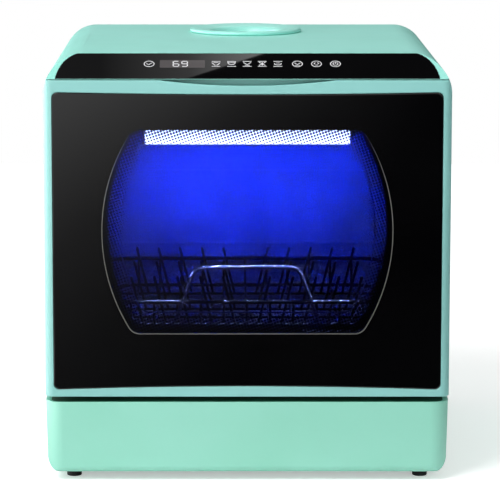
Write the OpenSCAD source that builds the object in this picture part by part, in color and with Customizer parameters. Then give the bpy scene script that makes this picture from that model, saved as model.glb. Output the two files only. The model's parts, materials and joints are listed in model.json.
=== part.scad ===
// Countertop dishwasher with a drop-down glass door, a wire rack that rolls out
// with the door, two spray arms and a built-in fresh-water tank.
// Millimetres. Origin at the centre of the footprint, on the surface it stands on.
// +X is to the right seen from the door, +Y is to the rear, +Z is up.

/* [Cabinet] */
// Overall width across the side walls
body_w = 430; // [420:1:450]
// Overall depth from the door's front face to the rear face
body_d = 430; // [425:1:450]
// Height of the flat top above the surface the machine stands on
body_h = 455; // [450:1:470]
// Rounding of the two long upper edges, seen from the front
crown_r = 41; // [36:1:44]
// Rounding of the rear upright edges
rear_corner_r = 20; // [14:1:24]
// Rounding of the front upright edges of the door and the header
front_corner_r = 9; // [5:1:12]
// Rounding of the rear top edge
rear_top_r = 15; // [10:1:20]
// Wall of the outer shell
shell_t = 3; // [2.4:0.2:3.6]
// Thickness of the shell's rear wall
rear_t = 5; // [4:0.5:6]
// Depth of the sloped control edge, front to back
slope_d = 43; // [38:1:50]
// Height of the sloped control edge
slope_h = 24; // [20:1:28]

/* [Base] */
// Height of the rubber feet
foot_h = 9; // [8:1:16]
// Diameter of a rubber foot
foot_dia = 16; // [12:1:20]
// Height of the base pan's rim above the surface
rim_z = 86; // [84:1:88]
// Wall and floor of the base pan
base_t = 3; // [2.4:0.2:4]
// Rounding of the base pan's upright edges
base_corner_r = 20; // [14:1:26]
// Rounding along the bottom of the base pan
base_under_r = 16; // [10:1:24]
// Inward lean of the base pan's side walls over their height
base_draft = 2; // [0:0.5:3]

/* [Door] */
// Thickness of the door, front face to inner face
door_t = 38; // [36:1:40]
// Open gap between the base rim and the door's lower edge
door_gap = 6; // [5:0.5:8]
// Hinge axis above the door's lower edge
hinge_up = 8; // [8:0.5:9]
// Hinge axis behind the door's front face
hinge_in = 10; // [9.5:0.5:10.5]
// Distance of each hinge from the middle
hinge_x = 160; // [140:1:166]
// Diameter of a hinge pin
hinge_pin_dia = 5; // [4:0.5:5.5]
// Width of the door frame that shows beside the glass
frame_side = 9.5; // [7:0.5:12]
// Height of the door frame that shows below the glass
frame_foot = 8; // [6:0.5:10]
// Height of the door frame that shows above the glass
frame_head = 13; // [12:0.5:18]
// Ledge of the frame behind the edge of the glass
glass_ledge = 10; // [8:0.5:12]
// Thickness of the door glass
glass_t = 4; // [3:0.5:5]
// Inward bow of the glass at the middle of its lower edge
glass_bow = 3.5; // [0:0.5:5]
// Half the width of the finger scoop in the door's top edge
scoop_hw = 93; // [70:1:110]
// Depth of the finger scoop at its middle
scoop_drop = 6; // [4:0.5:8]
// How far the finger scoop reaches back
scoop_in = 9; // [7:1:22]

/* [Window] */
// Half the width of the window at its widest
window_hw = 153; // [140:1:158]
// Height of the window's lower edge above the surface
window_z0 = 160.5; // [158:0.5:165]
// Height of the window's upper edge below the flat top
window_drop = 77.5; // [74:0.5:84]
// Radius of the window's bowed sides
window_side_r = 200; // [190:5:260]
// Radius of the window's corners
window_corner_r = 14; // [10:1:18]
// Width of the dotted border between the window's edge and its clear middle
window_border = 16; // [12:1:20]

/* [Tub] */
// Space between the outer side wall and the tub's cavity
tub_side = 43; // [41:1:48]
// Space behind the tub's cavity, for the tank and the rear wall
tub_rear = 75; // [74:1:80]
// Height of the tub's floor above the surface
tub_floor_z = 128; // [126:0.5:129]
// Space above the tub's ceiling
tub_over = 59; // [58:1:64]
// Rounding of the tub's long edges
tub_r = 22; // [18:1:26]
// Wall of the tub
tub_t = 2.5; // [2:0.1:3]
// Width of the tub's front flange
flange_w = 33; // [32:0.5:34]
// Thickness of the door seal
gasket_t = 5; // [4:0.2:5.4]
// Width of the door seal
gasket_w = 10; // [7:0.5:12]

/* [Rack] */
// Gap between the rack's rim and the tub's side wall
rack_side = 14; // [13.5:0.5:17]
// Height of the rack's rim above the surface
rack_rim_z = 185; // [182:1:200]
// Height of the rack's floor wires above the surface
rack_floor_z = 151.5; // [151:0.5:156]
// Diameter of the rim wire
rim_wire = 4.4; // [3.6:0.2:5]
// Diameter of the floor wires
floor_wire = 3; // [2.4:0.2:3.6]
// Spacing of the floor wires
wire_pitch = 25; // [20:1:32]
// Height of the front handle above the rim
handle_rise = 38; // [30:1:50]
// Half the width of the handle's flat top
handle_hw = 46; // [36:1:60]
// Length of a plate tine
tine_len = 56; // [40:1:70]
// Diameter of a rack wheel
wheel_dia = 20; // [18:0.5:21]
// Distance the rack rolls out as the door opens fully
rack_travel = 70; // [50:1:72]

/* [Spray arms] */
// Clearance between the tip of the lower spray arm and the rack rails
arm_side_gap = 16; // [14:1:48]
// Length of the upper spray arm from its centre
upper_arm_r = 105; // [80:1:130]
// Diameter of the shaft that a spray arm turns on
arm_shaft_dia = 10; // [8:0.5:12]
// Radius of the sump's bowl
sump_r = 60; // [58:1:64]

/* [Water inlet] */
// Outer diameter of the inlet's raised lip
inlet_dia = 128; // [110:1:136]
// Diameter of the inlet's throat
throat_dia = 70; // [60:1:80]
// Height of the inlet's lip above the top
lip_h = 5; // [3:0.5:7]
// Distance of the inlet's centre from the rear face
inlet_back = 115; // [105:1:125]
// Thickness of the water tank, front to back
tank_d = 58; // [52:1:60]
// Half the width of the water tank
tank_hw = 150; // [130:1:152]

/* [Fits] */
// Radial clearance between a turning part and its shaft
run_fit = 0.05; // [0.03:0.01:0.09]
// Gap around a piece that is laid into a rebate
seat_gap = 0.3; // [0.2:0.1:0.5]
// Working clearance between pieces that move past each other
move_gap = 0.3; // [0.3:0.1:0.6]

/* [Hidden] */

$fn = 64;
eps = 0.01;

mint = "#98dccb";
dark = "#15171a";
steel = "#b9bdc2";
white = "#e8ebee";
grey = "#6d7278";

// Places shared by several pieces
front_y = -body_d / 2;
back_y = body_d / 2;
half_w = body_w / 2;
header_z = body_h - slope_h;
slope_a = atan2(slope_h, slope_d);
slope_len = sqrt(slope_d * slope_d + slope_h * slope_h);
door_z0 = rim_z + door_gap;
door_top_gap = 1;
door_z1 = header_z - door_top_gap;
door_y1 = front_y + door_t;
hinge_y = front_y + hinge_in;
hinge_z = door_z0 + hinge_up;
hinge_pin_r = hinge_pin_dia / 2;
shell_y0 = door_y1 + 2;
shell_z0 = rim_z + 0.5;
panel_t = 2.2;
panel_hw = half_w - 13;
panel_end_r = crown_r - 13;

// Door layers, from the front to the back
glass_y0 = front_y + seat_gap;
glass_y1 = glass_y0 + glass_t;
bezel_t = 2;
liner_t = 3;
liner_y0 = door_y1 - liner_t;
glass_hw = half_w - frame_side;
glass_z0 = door_z0 + frame_foot;
glass_z1 = door_z1 - frame_head;
glass_corner_r = 6;
liner_inset = 6;
window_z1 = body_h - window_drop;
window_mid_z = (window_z0 + window_z1) / 2;
window_hh = (window_z1 - window_z0) / 2;

// Tub
tub_hw = half_w - tub_side;
tub_y0 = door_y1 + gasket_t;
tub_y1 = back_y - tub_rear;
tub_z1 = body_h - tub_over;
hub_y = (tub_y0 + tub_y1) / 2;
flange_t = 3;
flange_hw = tub_hw + flange_w;
flange_z0 = tub_floor_z - flange_w + 1;
flange_z1 = tub_z1 + flange_w - 2;
gasket_in = 6;

// Rack
rack_hw = tub_hw - rack_side;
rack_y0 = tub_y0 + 9;
rack_y1 = tub_y1 - 12;
rack_corner_r = 25;
rack_taper = 8;
wheel_r = wheel_dia / 2;
wheel_w = 6;
wheel_x = rack_hw + 3;
wheel_z = rack_floor_z;
wheel_pin_r = 2;
wheel_inset = 34;
rail_z1 = wheel_z - wheel_r - move_gap;
lower_arm_r = rack_hw - arm_side_gap;

// Spray arms
shaft_r = arm_shaft_dia / 2;
lower_arm_z = tub_floor_z + 5;
arm_t = 10;
upper_arm_t = 8;
upper_arm_z = tub_z1 - 22;
arm_play = 0.5;
sump_z0 = tub_floor_z - 36;
sump_t = 2.5;
post_r = 9;
pipe_r = 8;
pipe_bore = 6;
feed_z = sump_z0 + 12;
cup_off = 28;
cup_r = 16;
heater_ring_r = sump_r - 10;
heater_r = 3.5;

// Inlet and tank
inlet_y = back_y - inlet_back;
throat_r = throat_dia / 2;
funnel_t = 2;
funnel_z0 = tub_z1 + 16;
tank_y1 = back_y - 8;
tank_y0 = tank_y1 - tank_d;
tank_z0 = 100;
tank_z1 = tub_z1 - 1;
tank_t = 2.5;
tank_neck_y = (tank_y0 + tank_y1) / 2;

// Pumps and ports in the base
pump_z = 55;
pump_r = 34;
volute_hw = 14;
motor_r = 28;
motor_len = 62;
pump_side_gap = 10;
pump_x = -half_w + base_t + pump_side_gap + motor_len + volute_hw;
pump_y = hub_y + 24;
stub_h = 33;
drain_x = half_w - 90;
drain_z = 48;
bay_x0 = half_w - 155;
bay_x1 = half_w - 65;
bay_d = 28;
bay_z0 = foot_h + 11;
port_y = back_y - bay_d;
inlet_x = half_w - 130;
duct_x0 = -half_w + shell_t + 24;
duct_x1 = -tank_hw - 4;
blower_neck = 36;
blower_x = duct_x1 + blower_neck;
blower_z = 54;
blower_r = 28;
blower_d = 22;
blower_y1 = back_y - base_t;
board_x0 = -half_w + 135;
board_w = 110;
board_y0 = back_y - 137;
board_d = 76;
board_z0 = 26;
board_z1 = board_z0 + 1.6;

// Rear panel
rear_panel_hw = half_w - 27;
rear_panel_z1 = body_h - 19;
rear_panel_t = 1.5;
rear_recess = 2.5;
rear_lip = 10;

// Detergent cup in the door
cup_x = 90;
pane_lap = 2;
soap_w = 62;
soap_h = 22;
soap_d = 17;
cup_z = window_z0 - pane_lap - 0.5 - soap_h / 2;
cover_t = 2;

// Latch
latch_z = flange_z1 - 8;
latch_hw = 8;
latch_hh = 3;
latch_reach = 14;

// Extrusions along the three axes
module along_x(x0, x1) { translate([x0, 0, 0]) rotate([90, 0, 90]) linear_extrude(x1 - x0) children(); }
module along_y(y0, y1) { translate([0, y1, 0]) rotate([90, 0, 0]) linear_extrude(y1 - y0) children(); }
module along_z(z0, z1) { translate([0, 0, z0]) linear_extrude(z1 - z0) children(); }
module box(low, high) { translate(low) cube(high - low); }
module both_sides() { children(); mirror([1, 0, 0]) children(); }

// Cylinders along the three axes, from one place to another
module rod_x(x0, x1, y, z, r) { translate([x0, y, z]) rotate([0, 90, 0]) cylinder(h = x1 - x0, r = r); }
module rod_y(y0, y1, x, z, r) { translate([x, y1, z]) rotate([90, 0, 0]) cylinder(h = y1 - y0, r = r); }
module rod_z(z0, z1, x, y, r) { translate([x, y, z0]) cylinder(h = z1 - z0, r = r); }

// Straight wire between two points
module wire(p, q, d) {
  v = q - p;
  l = norm(v);
  translate(p) rotate([0, acos(v.z / l), atan2(v.y, v.x)]) cylinder(h = l, d = d, $fn = 24);
}

// Rectangle from (x0, y0) to (x1, y1) with four corners of radius r
module soft_rect(x0, y0, x1, y1, r) {
  translate([x0 + r, y0]) square([x1 - x0 - 2 * r, y1 - y0]);
  translate([x0, y0 + r]) square([x1 - x0, y1 - y0 - 2 * r]);
  for (x = [x0 + r, x1 - r], y = [y0 + r, y1 - r]) translate([x, y]) circle(r);
}

// Arch from height z0 up to z1, with its two upper corners of radius r
module arch(hw, z0, z1, r) {
  translate([-hw, z0]) square([2 * hw, z1 - r - z0]);
  translate([-hw + r, z0]) square([2 * (hw - r), z1 - z0]);
  for (s = [-1, 1]) translate([s * (hw - r), z1 - r]) circle(r);
}

// Front view of the cabinet, drawn inward by a distance
module cabinet_front(inset, z0) { arch(half_w - inset, z0, body_h - inset, crown_r - inset); }

// Plan of the cabinet, drawn inward by a distance, with its own front and rear corners
module cabinet_plan(inset, front_r, rear_r) {
  hw = half_w - inset;
  y0 = front_y + inset;
  y1 = back_y - inset;
  fr = max(front_r - inset, 1);
  rr = rear_r - inset;
  translate([-hw, y0 + fr]) square([2 * hw, y1 - rr - y0 - fr]);
  translate([-hw + fr, y0]) square([2 * (hw - fr), fr + 1]);
  translate([-hw + rr, y1 - rr - 1]) square([2 * (hw - rr), rr + 1]);
  for (s = [-1, 1]) {
    translate([s * (hw - fr), y0 + fr]) circle(fr);
    translate([s * (hw - rr), y1 - rr]) circle(rr);
  }
}

// Side view of the header and top: sloped front, flat top, rounded rear edge.
module cabinet_side(inset, rear, z0, front) {
  r = rear_top_r - inset;
  drop = inset / cos(slope_a);
  difference() {
    polygon([[front, z0], [front, header_z - drop], [front_y, header_z - drop],
      [front_y + slope_d + inset * tan(slope_a / 2), body_h - inset], [back_y - rear, body_h - inset],
      [back_y - rear, z0]]);
    translate([back_y - rear - r, body_h - inset - r]) difference() {
      square(r + 1);
      circle(r);
    }
  }
}

// Glass outline: a rounded rectangle whose lower and upper edges bow inward
function corner_arc(c, r, a0, a1) = [for (i = [0:4]) let (a = a0 + (a1 - a0) * i / 4)
  c + r * [cos(a), sin(a)]];
function bowed(hw, z, bow) = [for (i = [-4:4]) [i / 4 * hw, z + bow * (1 - pow(i / 4, 2))]];
function reversed(v) = [for (i = [len(v) - 1:-1:0]) v[i]];
module glass_outline(inset) {
  hw = glass_hw - inset;
  r = glass_corner_r;
  z0 = glass_z0 + inset;
  z1 = glass_z1 - inset;
  polygon(concat(
    bowed(hw - r, z0, glass_bow),
    corner_arc([hw - r, z0 + r], r, -90, 0),
    corner_arc([hw - r, z1 - r], r, 0, 90),
    reversed(bowed(hw - r, z1, -glass_bow * 0.6)),
    corner_arc([-hw + r, z1 - r], r, 90, 180),
    corner_arc([-hw + r, z0 + r], r, 180, 270)));
}

// Barrel outline of the window: flat top and bottom, sides bowed outward, round corners
module window_outline(inset) {
  hw = window_hw - inset;
  hh = window_hh - inset;
  cr = window_corner_r;
  side_r = window_side_r - inset;
  far = side_r - hw;
  turn = asin((hh - cr) / (side_r - cr));
  cx = (side_r - cr) * cos(turn) - far;
  quarter = concat(
    [for (i = [0:4]) let (a = 90 - (90 - turn) * i / 4) [cx, hh - cr] + cr * [cos(a), sin(a)]],
    [for (i = [1:6]) let (a = turn * (1 - i / 6)) [side_r * cos(a) - far, side_r * sin(a)]]);
  right = concat(quarter, [for (i = [len(quarter) - 2:-1:0]) [quarter[i].x, -quarter[i].y]]);
  translate([0, window_mid_z])
    polygon(concat(right, [for (p = reversed(right)) [-p.x, p.y]]));
}

// Place in the sloped control edge: x across, y up the slope, z out of its surface
module on_slope() { translate([0, front_y, header_z]) rotate([slope_a, 0, 0]) children(); }
module panel_outline(inset, below) {
  along_y(front_y - 1, front_y + slope_d + 20) intersection() {
    arch(panel_hw - inset, header_z - below, body_h, panel_end_r);
    translate([-half_w, header_z - below]) square([body_w, slope_h + below + 1]);
  }
}

// ---- Cabinet -----------------------------------------------------------------

module outer_shell() color(mint) difference() {
  intersection() {
    along_y(front_y, back_y) cabinet_front(0, shell_z0);
    along_z(shell_z0, body_h) cabinet_plan(0, front_corner_r, rear_corner_r);
    along_x(-half_w, half_w) difference() {
      cabinet_side(0, 0, shell_z0, front_y);
      translate([front_y - 1, shell_z0 - 1]) square([shell_y0 - front_y + 1, header_z - shell_z0 + 1]);
    }
  }
  intersection() {
    along_y(front_y - 20, back_y) cabinet_front(shell_t, shell_z0 - 1);
    along_z(shell_z0 - 1, body_h) union() {
      cabinet_plan(shell_t, front_corner_r, rear_corner_r);
      translate([-half_w + shell_t, shell_y0 - 10]) square([2 * (half_w - shell_t), 20]);
    }
    along_x(-half_w, half_w) cabinet_side(shell_t, rear_t, shell_z0 - 1, front_y + shell_t);
  }
  // Rebate and opening for the control panel
  intersection() {
    on_slope() box([-half_w, 1 - seat_gap, -panel_t], [half_w, slope_len - 1 + seat_gap, 10]);
    panel_outline(-seat_gap, 20);
  }
  intersection() {
    on_slope() box([-half_w, 6, -20], [half_w, slope_len - 8, 1]);
    panel_outline(8, 20);
  }
  // Recess and opening for the back panel
  along_y(back_y - rear_recess, back_y + 1)
    arch(rear_panel_hw, shell_z0 - 1, rear_panel_z1, crown_r - rear_recess);
  along_y(back_y - rear_t - 1, back_y)
    arch(rear_panel_hw - rear_lip, shell_z0 - 1, rear_panel_z1 - rear_lip, crown_r - rear_lip);
  // Opening for the water inlet
  rod_z(body_h - 20, body_h + 1, 0, inlet_y, inlet_dia / 2 - 6);
  screw_places() rod_y(back_y - rear_t - 1, back_y, 0, 0, screw_r);
}

screw_r = 1.5;
module screw_places() {
  for (x = [-1, 1], z = [rim_z + 24, (rim_z + rear_panel_z1) / 2, rear_panel_z1 - 45])
    translate([x * (rear_panel_hw - rear_lip / 2), 0, z]) children();
  for (x = [-110, 0, 110]) translate([x, 0, rear_panel_z1 - rear_lip / 2]) children();
}

module back_panel() color(mint) difference() {
  union() {
    along_y(back_y - rear_recess, back_y - rear_recess + rear_panel_t)
      arch(rear_panel_hw - seat_gap, shell_z0, rear_panel_z1 - seat_gap, crown_r - rear_recess - seat_gap);
    for (x = [-100:50:100])
      box([x - 4, back_y - rear_recess, rim_z + 34], [x + 4, back_y - 0.4, rear_panel_z1 - 136]);
  }
  for (x = [-60:12:60])
    box([x - 2.5, back_y - 10, rear_panel_z1 - 96], [x + 2.5, back_y + 1, rear_panel_z1 - 51]);
  screw_places() rod_y(back_y - rear_t, back_y, 0, 0, screw_r);
}

module back_screws() color(steel) screw_places() difference() {
  union() {
    rod_y(back_y - 10, back_y - 1, 0, 0, screw_r);
    rod_y(back_y - rear_recess + rear_panel_t, back_y - 0.1, 0, 0, 3);
  }
  for (a = [0, 90]) rotate([0, a, 0]) box([-2, back_y - 0.6, -0.4], [2, back_y, 0.4]);
}

// Outer form of the base pan: leaning walls, rounded along the bottom
module base_profile(inset) {
  hw = half_w - inset;
  r = base_under_r - inset;
  z0 = foot_h + inset;
  mid = foot_h + base_under_r;
  polygon([[-hw, rim_z], [-hw + base_draft, mid], [hw - base_draft, mid], [hw, rim_z]]);
  translate([-hw + base_draft, mid - 1]) square([2 * (hw - base_draft), 1.5]);
  translate([-hw + base_draft + r, z0]) square([2 * (hw - base_draft - r), mid - z0]);
  for (s = [-1, 1]) translate([s * (hw - base_draft - r), z0 + r]) circle(r);
}
module base_side(inset) {
  z0 = foot_h + inset;
  y0 = front_y + inset;
  y1 = back_y - inset;
  r = 8;
  translate([y0, z0 + r]) square([y1 - y0, rim_z - z0 - r]);
  translate([y0 + r, z0]) square([y1 - y0 - 2 * r, r + 1]);
  for (y = [y0 + r, y1 - r]) translate([y, z0 + r]) circle(r);
}

sill_y1 = shell_y0 + 6;
boss_z = 40;
module base_pan() color(mint) difference() {
  union() {
    difference() {
      intersection() {
        along_y(front_y, back_y) base_profile(0);
        along_x(-half_w, half_w) base_side(0);
        along_z(foot_h, rim_z) cabinet_plan(0, base_corner_r, base_corner_r);
      }
      intersection() {
        along_y(front_y, back_y) union() {
          base_profile(base_t);
          translate([-half_w + base_t, rim_z - 1]) square([2 * (half_w - base_t), 2]);
        }
        along_x(-half_w, half_w) union() {
          base_side(base_t);
          translate([front_y + base_t, rim_z - 1]) square([body_d - 2 * base_t, 2]);
        }
        along_z(foot_h, rim_z + 1) cabinet_plan(base_t, base_corner_r, base_corner_r);
      }
    }
    // Sill under the door, and the riser behind it
    intersection() {
      box([-half_w, front_y, rim_z - base_t], [half_w, sill_y1, rim_z]);
      along_z(foot_h, rim_z) cabinet_plan(0.5, base_corner_r, base_corner_r);
    }
    box([-flange_hw, sill_y1 - base_t, rim_z - base_t], [flange_hw, sill_y1, flange_z0]);
    // Bosses that carry the hinge brackets
    both_sides() box([hinge_x - 10, front_y + 10, foot_h + 1], [hinge_x + 10, front_y + 38, boss_z]);
    // Bay for the water ports
    box([bay_x0 - base_t, port_y - base_t, foot_h + 1], [bay_x1 + base_t, back_y - 1, rim_z - 4]);
    // Posts under the sump
    for (a = [70, 110, 250, 290]) translate([0, hub_y, 0]) rotate([0, 0, a])
      rod_z(foot_h + 1, sump_z0, sump_r - 14, 0, 5);
  }
  box([bay_x0, port_y, bay_z0], [bay_x1, back_y + 1, rim_z - 4 - base_t]);
  rod_y(port_y - base_t - 1, port_y + 1, drain_x, drain_z, 9);
  rod_y(port_y - base_t - 1, port_y + 1, inlet_x, drain_z, 13);
  rod_y(back_y - base_t - 1, back_y + 1, gland_x, gland_z, gland_r);
  // Slots for the hinge brackets
  both_sides() box([hinge_x - bracket_w / 2 - 0.8, hinge_y + stem_in - 0.8, rim_z - 10],
    [hinge_x + bracket_w / 2 + 0.8, hinge_y + stem_out + 0.8, rim_z + 1]);
  // Intake slots of the blower
  for (i = [-3:3]) box([blower_x - 20, back_y - base_t - 1, blower_z + i * 6 - 1.6],
    [blower_x + 20, back_y + 1, blower_z + i * 6 + 1.6]);
  foot_places() rod_z(foot_h - 1, foot_h + 2, 0, 0, 3);
}

gland_x = -half_w + 175;
gland_z = 40;
gland_r = 8;
module cord_gland() color(dark) {
  rod_y(back_y - base_t - 6, back_y - 0.2, gland_x, gland_z, gland_r - 0.05);
  rod_y(back_y - base_t - 8, back_y - base_t, gland_x, gland_z, gland_r + 3);
}

module foot_places() { for (x = [-1, 1], y = [-1, 1])
  translate([x * (half_w - 29), y * (body_d / 2 - 30), 0]) children(); }
module rubber_feet() color(dark) foot_places() {
  rod_z(0, foot_h, 0, 0, foot_dia / 2);
  rod_z(foot_h - 1, foot_h + 2, 0, 0, 2.9);
}

// ---- Control edge -------------------------------------------------------------

module control_panel() color(dark) intersection() {
  on_slope() box([-half_w, 1, -panel_t], [half_w, slope_len - 1, 0]);
  panel_outline(0, 0);
}

tray_t = 2;
tray_hw = half_w - shell_t - 6;
module control_tray() color(dark) {
  box([-tray_hw, front_y + 11, header_z], [tray_hw, shell_y0 + 1, header_z + tray_t]);
  box([-tray_hw + 14, shell_y0 - 1, header_z], [tray_hw - 14, shell_y0 + 1, header_z + 12]);
}

board_z = -8;
board_hw = 150;
display_x = -69;
module control_board() color("#1f6b46") on_slope() {
  box([-board_hw, 20, board_z], [board_hw, 42, board_z + 1.6]);
  for (x = [-110, -20, 60, 118]) box([x, 24, board_z + 1.6], [x + 14, 34, board_z + 3.4]);
  box([display_x - 26, 22, board_z + 1.6], [display_x + 26, 38, -panel_t]);
}

// ---- Water inlet and tank -----------------------------------------------------

module inlet_funnel() color(mint) translate([0, inlet_y, 0]) difference() {
  rotate_extrude() polygon([
    [inlet_dia / 2, body_h], [inlet_dia / 2, body_h + lip_h - 1.5],
    [inlet_dia / 2 - 1.5, body_h + lip_h], [throat_r + 12, body_h + lip_h],
    [throat_r, body_h - 6], [throat_r, funnel_z0 + funnel_t],
    [0, funnel_z0 + funnel_t], [0, funnel_z0], [throat_r + funnel_t, funnel_z0],
    [throat_r + funnel_t, body_h - 7], [throat_r + 12, body_h - shell_t],
    [inlet_dia / 2 - 6 - seat_gap, body_h - shell_t], [inlet_dia / 2 - 6 - seat_gap, body_h]]);
  rod_y(throat_r - 8, throat_r + 10, 0, duct_z, duct_r - 1.5);
}

strainer_z0 = funnel_z0 + 6;
module inlet_strainer() color(white) translate([0, inlet_y, 0]) difference() {
  union() {
    rod_z(strainer_z0, strainer_z0 + 8, 0, 0, throat_r - 0.6);
    rod_z(strainer_z0, strainer_z0 + 20, 0, 0, 4);
  }
  difference() {
    rod_z(strainer_z0 + 1.6, strainer_z0 + 9, 0, 0, throat_r - 2.4);
    rod_z(strainer_z0, strainer_z0 + 9, 0, 0, 5);
  }
  for (r = [11:6:29], a = [0:30:330]) rotate([0, 0, a + r * 2])
    rod_z(strainer_z0 - 1, strainer_z0 + 2, r, 0, 1.3);
}

duct_z = funnel_z0 + 10;
duct_r = 9;
module fill_duct() color(white) difference() {
  union() {
    rod_y(inlet_y + throat_r + funnel_t, tank_neck_y + duct_r, 0, duct_z, duct_r);
    rod_z(tank_z1, duct_z, 0, tank_neck_y, duct_r);
  }
  rod_y(inlet_y + throat_r - 2, tank_neck_y, 0, duct_z, duct_r - 1.5);
  rod_z(tank_z1 - 1, duct_z, 0, tank_neck_y, duct_r - 1.5);
  translate([0, tank_neck_y, duct_z]) sphere(duct_r - 1.5);
  translate([0, inlet_y, 0]) rod_z(funnel_z0 - 1, body_h, 0, 0, throat_r + funnel_t);
}

module water_tank() color("#dfe9ec") difference() {
  along_y(tank_y0, tank_y1) soft_rect(-tank_hw, tank_z0, tank_hw, tank_z1, 12);
  along_y(tank_y0 + tank_t, tank_y1 - tank_t)
    soft_rect(-tank_hw + tank_t, tank_z0 + tank_t, tank_hw - tank_t, tank_z1 - tank_t, 10);
  rod_z(tank_z1 - 5, tank_z1 + 1, 0, tank_neck_y, duct_r - 1.5);
}

tank_hose_x = -30;
tank_hose_z = sump_z0 + 16;
tank_hose_r = 7;
sump_wall_y = hub_y + sqrt(pow(sump_r, 2) - pow(tank_hose_x, 2));
module tank_hose() color(grey) difference() {
  rod_y(sump_wall_y - 12, tank_y0, tank_hose_x, tank_hose_z, tank_hose_r);
  rod_y(sump_wall_y - 13, tank_y0 + 1, tank_hose_x, tank_hose_z, tank_hose_r - 2);
  rod_z(0, body_h, 0, hub_y, sump_r - eps);
}

// ---- Tub ------------------------------------------------------------------------

module tub_section(grow) {
  soft_rect(-tub_hw - grow, tub_floor_z - grow, tub_hw + grow, tub_z1 + grow, tub_r + grow);
}
lamp_hw = 30;
lamp_y0 = tub_y0 + 22;
lamp_d = 18;
module tub() color(white) difference() {
  union() {
    along_y(tub_y0, tub_y1 + tub_t) tub_section(tub_t);
    along_y(tub_y0, tub_y0 + flange_t) soft_rect(-flange_hw, flange_z0, flange_hw, flange_z1, 12);
  }
  difference() {
    along_y(tub_y0 - 1, tub_y1) tub_section(0);
    for (z = [rib_low_z, rib_high_z]) box([-tub_hw, tub_y1 - 2, z - 1.5], [tub_hw, tub_y1 + 1, z + 1.5]);
  }
  rod_z(tub_floor_z - 10, tub_floor_z + 1, 0, hub_y, sump_r);
  rod_z(tub_z1 - 1, tub_z1 + 10, 0, hub_y, pipe_r);
  box([-lamp_hw, lamp_y0, tub_z1 - 2], [lamp_hw, lamp_y0 + lamp_d, tub_z1 + 10]);
  box([-latch_hw - 3, tub_y0 - 1, latch_z - latch_hh - 3],
    [latch_hw + 3, tub_y0 + flange_t + 1, latch_z + 6]);
  box([vent_x, tub_y1 - 1, vent_z], [vent_x + vent_w, tub_y1 + 10, vent_z + vent_h]);
}
vent_x = -tub_hw + 4;
vent_z = tub_z1 - 96;
vent_w = 14;
vent_h = 26;
rib_low_z = tub_floor_z + 73;
rib_high_z = tub_z1 - 109;

module tub_gasket() color("#3b3f43") difference() {
  along_y(door_y1 + move_gap, tub_y0) soft_rect(-tub_hw - gasket_in - gasket_w,
    tub_floor_z - gasket_in - gasket_w, tub_hw + gasket_in + gasket_w,
    tub_z1 + gasket_in + gasket_w, tub_r);
  along_y(door_y1 - 1, tub_y0 + 1) soft_rect(-tub_hw - gasket_in, tub_floor_z - gasket_in,
    tub_hw + gasket_in, tub_z1 + gasket_in, tub_r - 6);
}

module rack_rails() color(white) intersection() {
  along_y(tub_y0 + 7, tub_y1 - 5) tub_section(0);
  both_sides() box([rack_hw, tub_y0, rail_z1 - 7], [tub_hw, tub_y1, rail_z1]);
}

// ---- Sump and spray arms ----------------------------------------------------------

module sump() color(grey) difference() {
  union() {
    rod_z(sump_z0, tub_floor_z - tub_t, 0, hub_y, sump_r + sump_t);
    rod_z(tub_floor_z - tub_t - 4, tub_floor_z - tub_t, 0, hub_y, sump_r + 10);
  }
  rod_z(sump_z0 + sump_t, tub_floor_z, 0, hub_y, sump_r - 4);
  rod_x(-sump_r - 20, 0, hub_y, feed_z, pipe_r);
  rod_y(hub_y, hub_y + sump_r + 20, tank_hose_x, tank_hose_z, tank_hose_r);
  rod_z(sump_z0 - 1, sump_z0 + 4, suction_x, hub_y, 10);
  rod_z(sump_z0 - 1, sump_z0 + 4, drain_in_x, hub_y, drain_in_r - 2);
}

module heater_element() color(steel) translate([0, hub_y, sump_z0 + 25]) {
  rotate([0, 0, 120]) rotate_extrude(angle = 300) translate([heater_ring_r, 0]) circle(heater_r);
  for (a = [120, 60]) rotate([0, 0, a]) rod_z(-25 + sump_t, heater_r + 1, heater_ring_r, 0, heater_r + 1);
}

filter_x = cup_off * cos(-60);
filter_y = hub_y + cup_off * sin(-60);
module filter_plate() color(steel) difference() {
  rod_z(tub_floor_z - tub_t, tub_floor_z - tub_t + 1.5, 0, hub_y, sump_r - seat_gap);
  rod_z(0, body_h, 0, hub_y, post_r + 0.3);
  rod_z(0, body_h, filter_x, filter_y, cup_r + 0.3);
  for (r = [30:7:51], a = [0:20:340]) rotate_at_hub(a + r)
    if (norm([r * cos(a + r) - filter_x, r * sin(a + r) + hub_y - filter_y]) > cup_r + 4)
      rod_z(0, body_h, r, 0, 1.2);
}
module rotate_at_hub(a) { translate([0, hub_y, 0]) rotate([0, 0, a]) children(); }

module filter_cup() color("#8d9298") difference() {
  union() {
    rod_z(sump_z0 + 6, tub_floor_z - tub_t + 1.5, filter_x, filter_y, cup_r);
    rod_z(tub_floor_z - 1, tub_floor_z + 1, filter_x, filter_y, cup_r + 2);
  }
  rod_z(sump_z0 + 8, tub_floor_z + 2, filter_x, filter_y, cup_r - 2);
  for (a = [0:36:324], z = [sump_z0 + 13, sump_z0 + 21]) translate([filter_x, filter_y, z])
    rotate([0, 90, a]) cylinder(h = cup_r + 2, r = 2, $fn = 16);
}

module spray_hub() color(grey) {
  difference() {
    rod_z(sump_z0 + sump_t, lower_arm_z - arm_play, 0, hub_y, post_r);
    rod_z(sump_z0 + 7, lower_arm_z + 1, 0, hub_y, 4);
  }
  rod_z(lower_arm_z - 4, lower_arm_z + arm_t + arm_play, 0, hub_y, shaft_r);
  rod_z(lower_arm_z + arm_t + arm_play, lower_arm_z + arm_t + arm_play + 3, 0, hub_y, shaft_r + 3);
}

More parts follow.
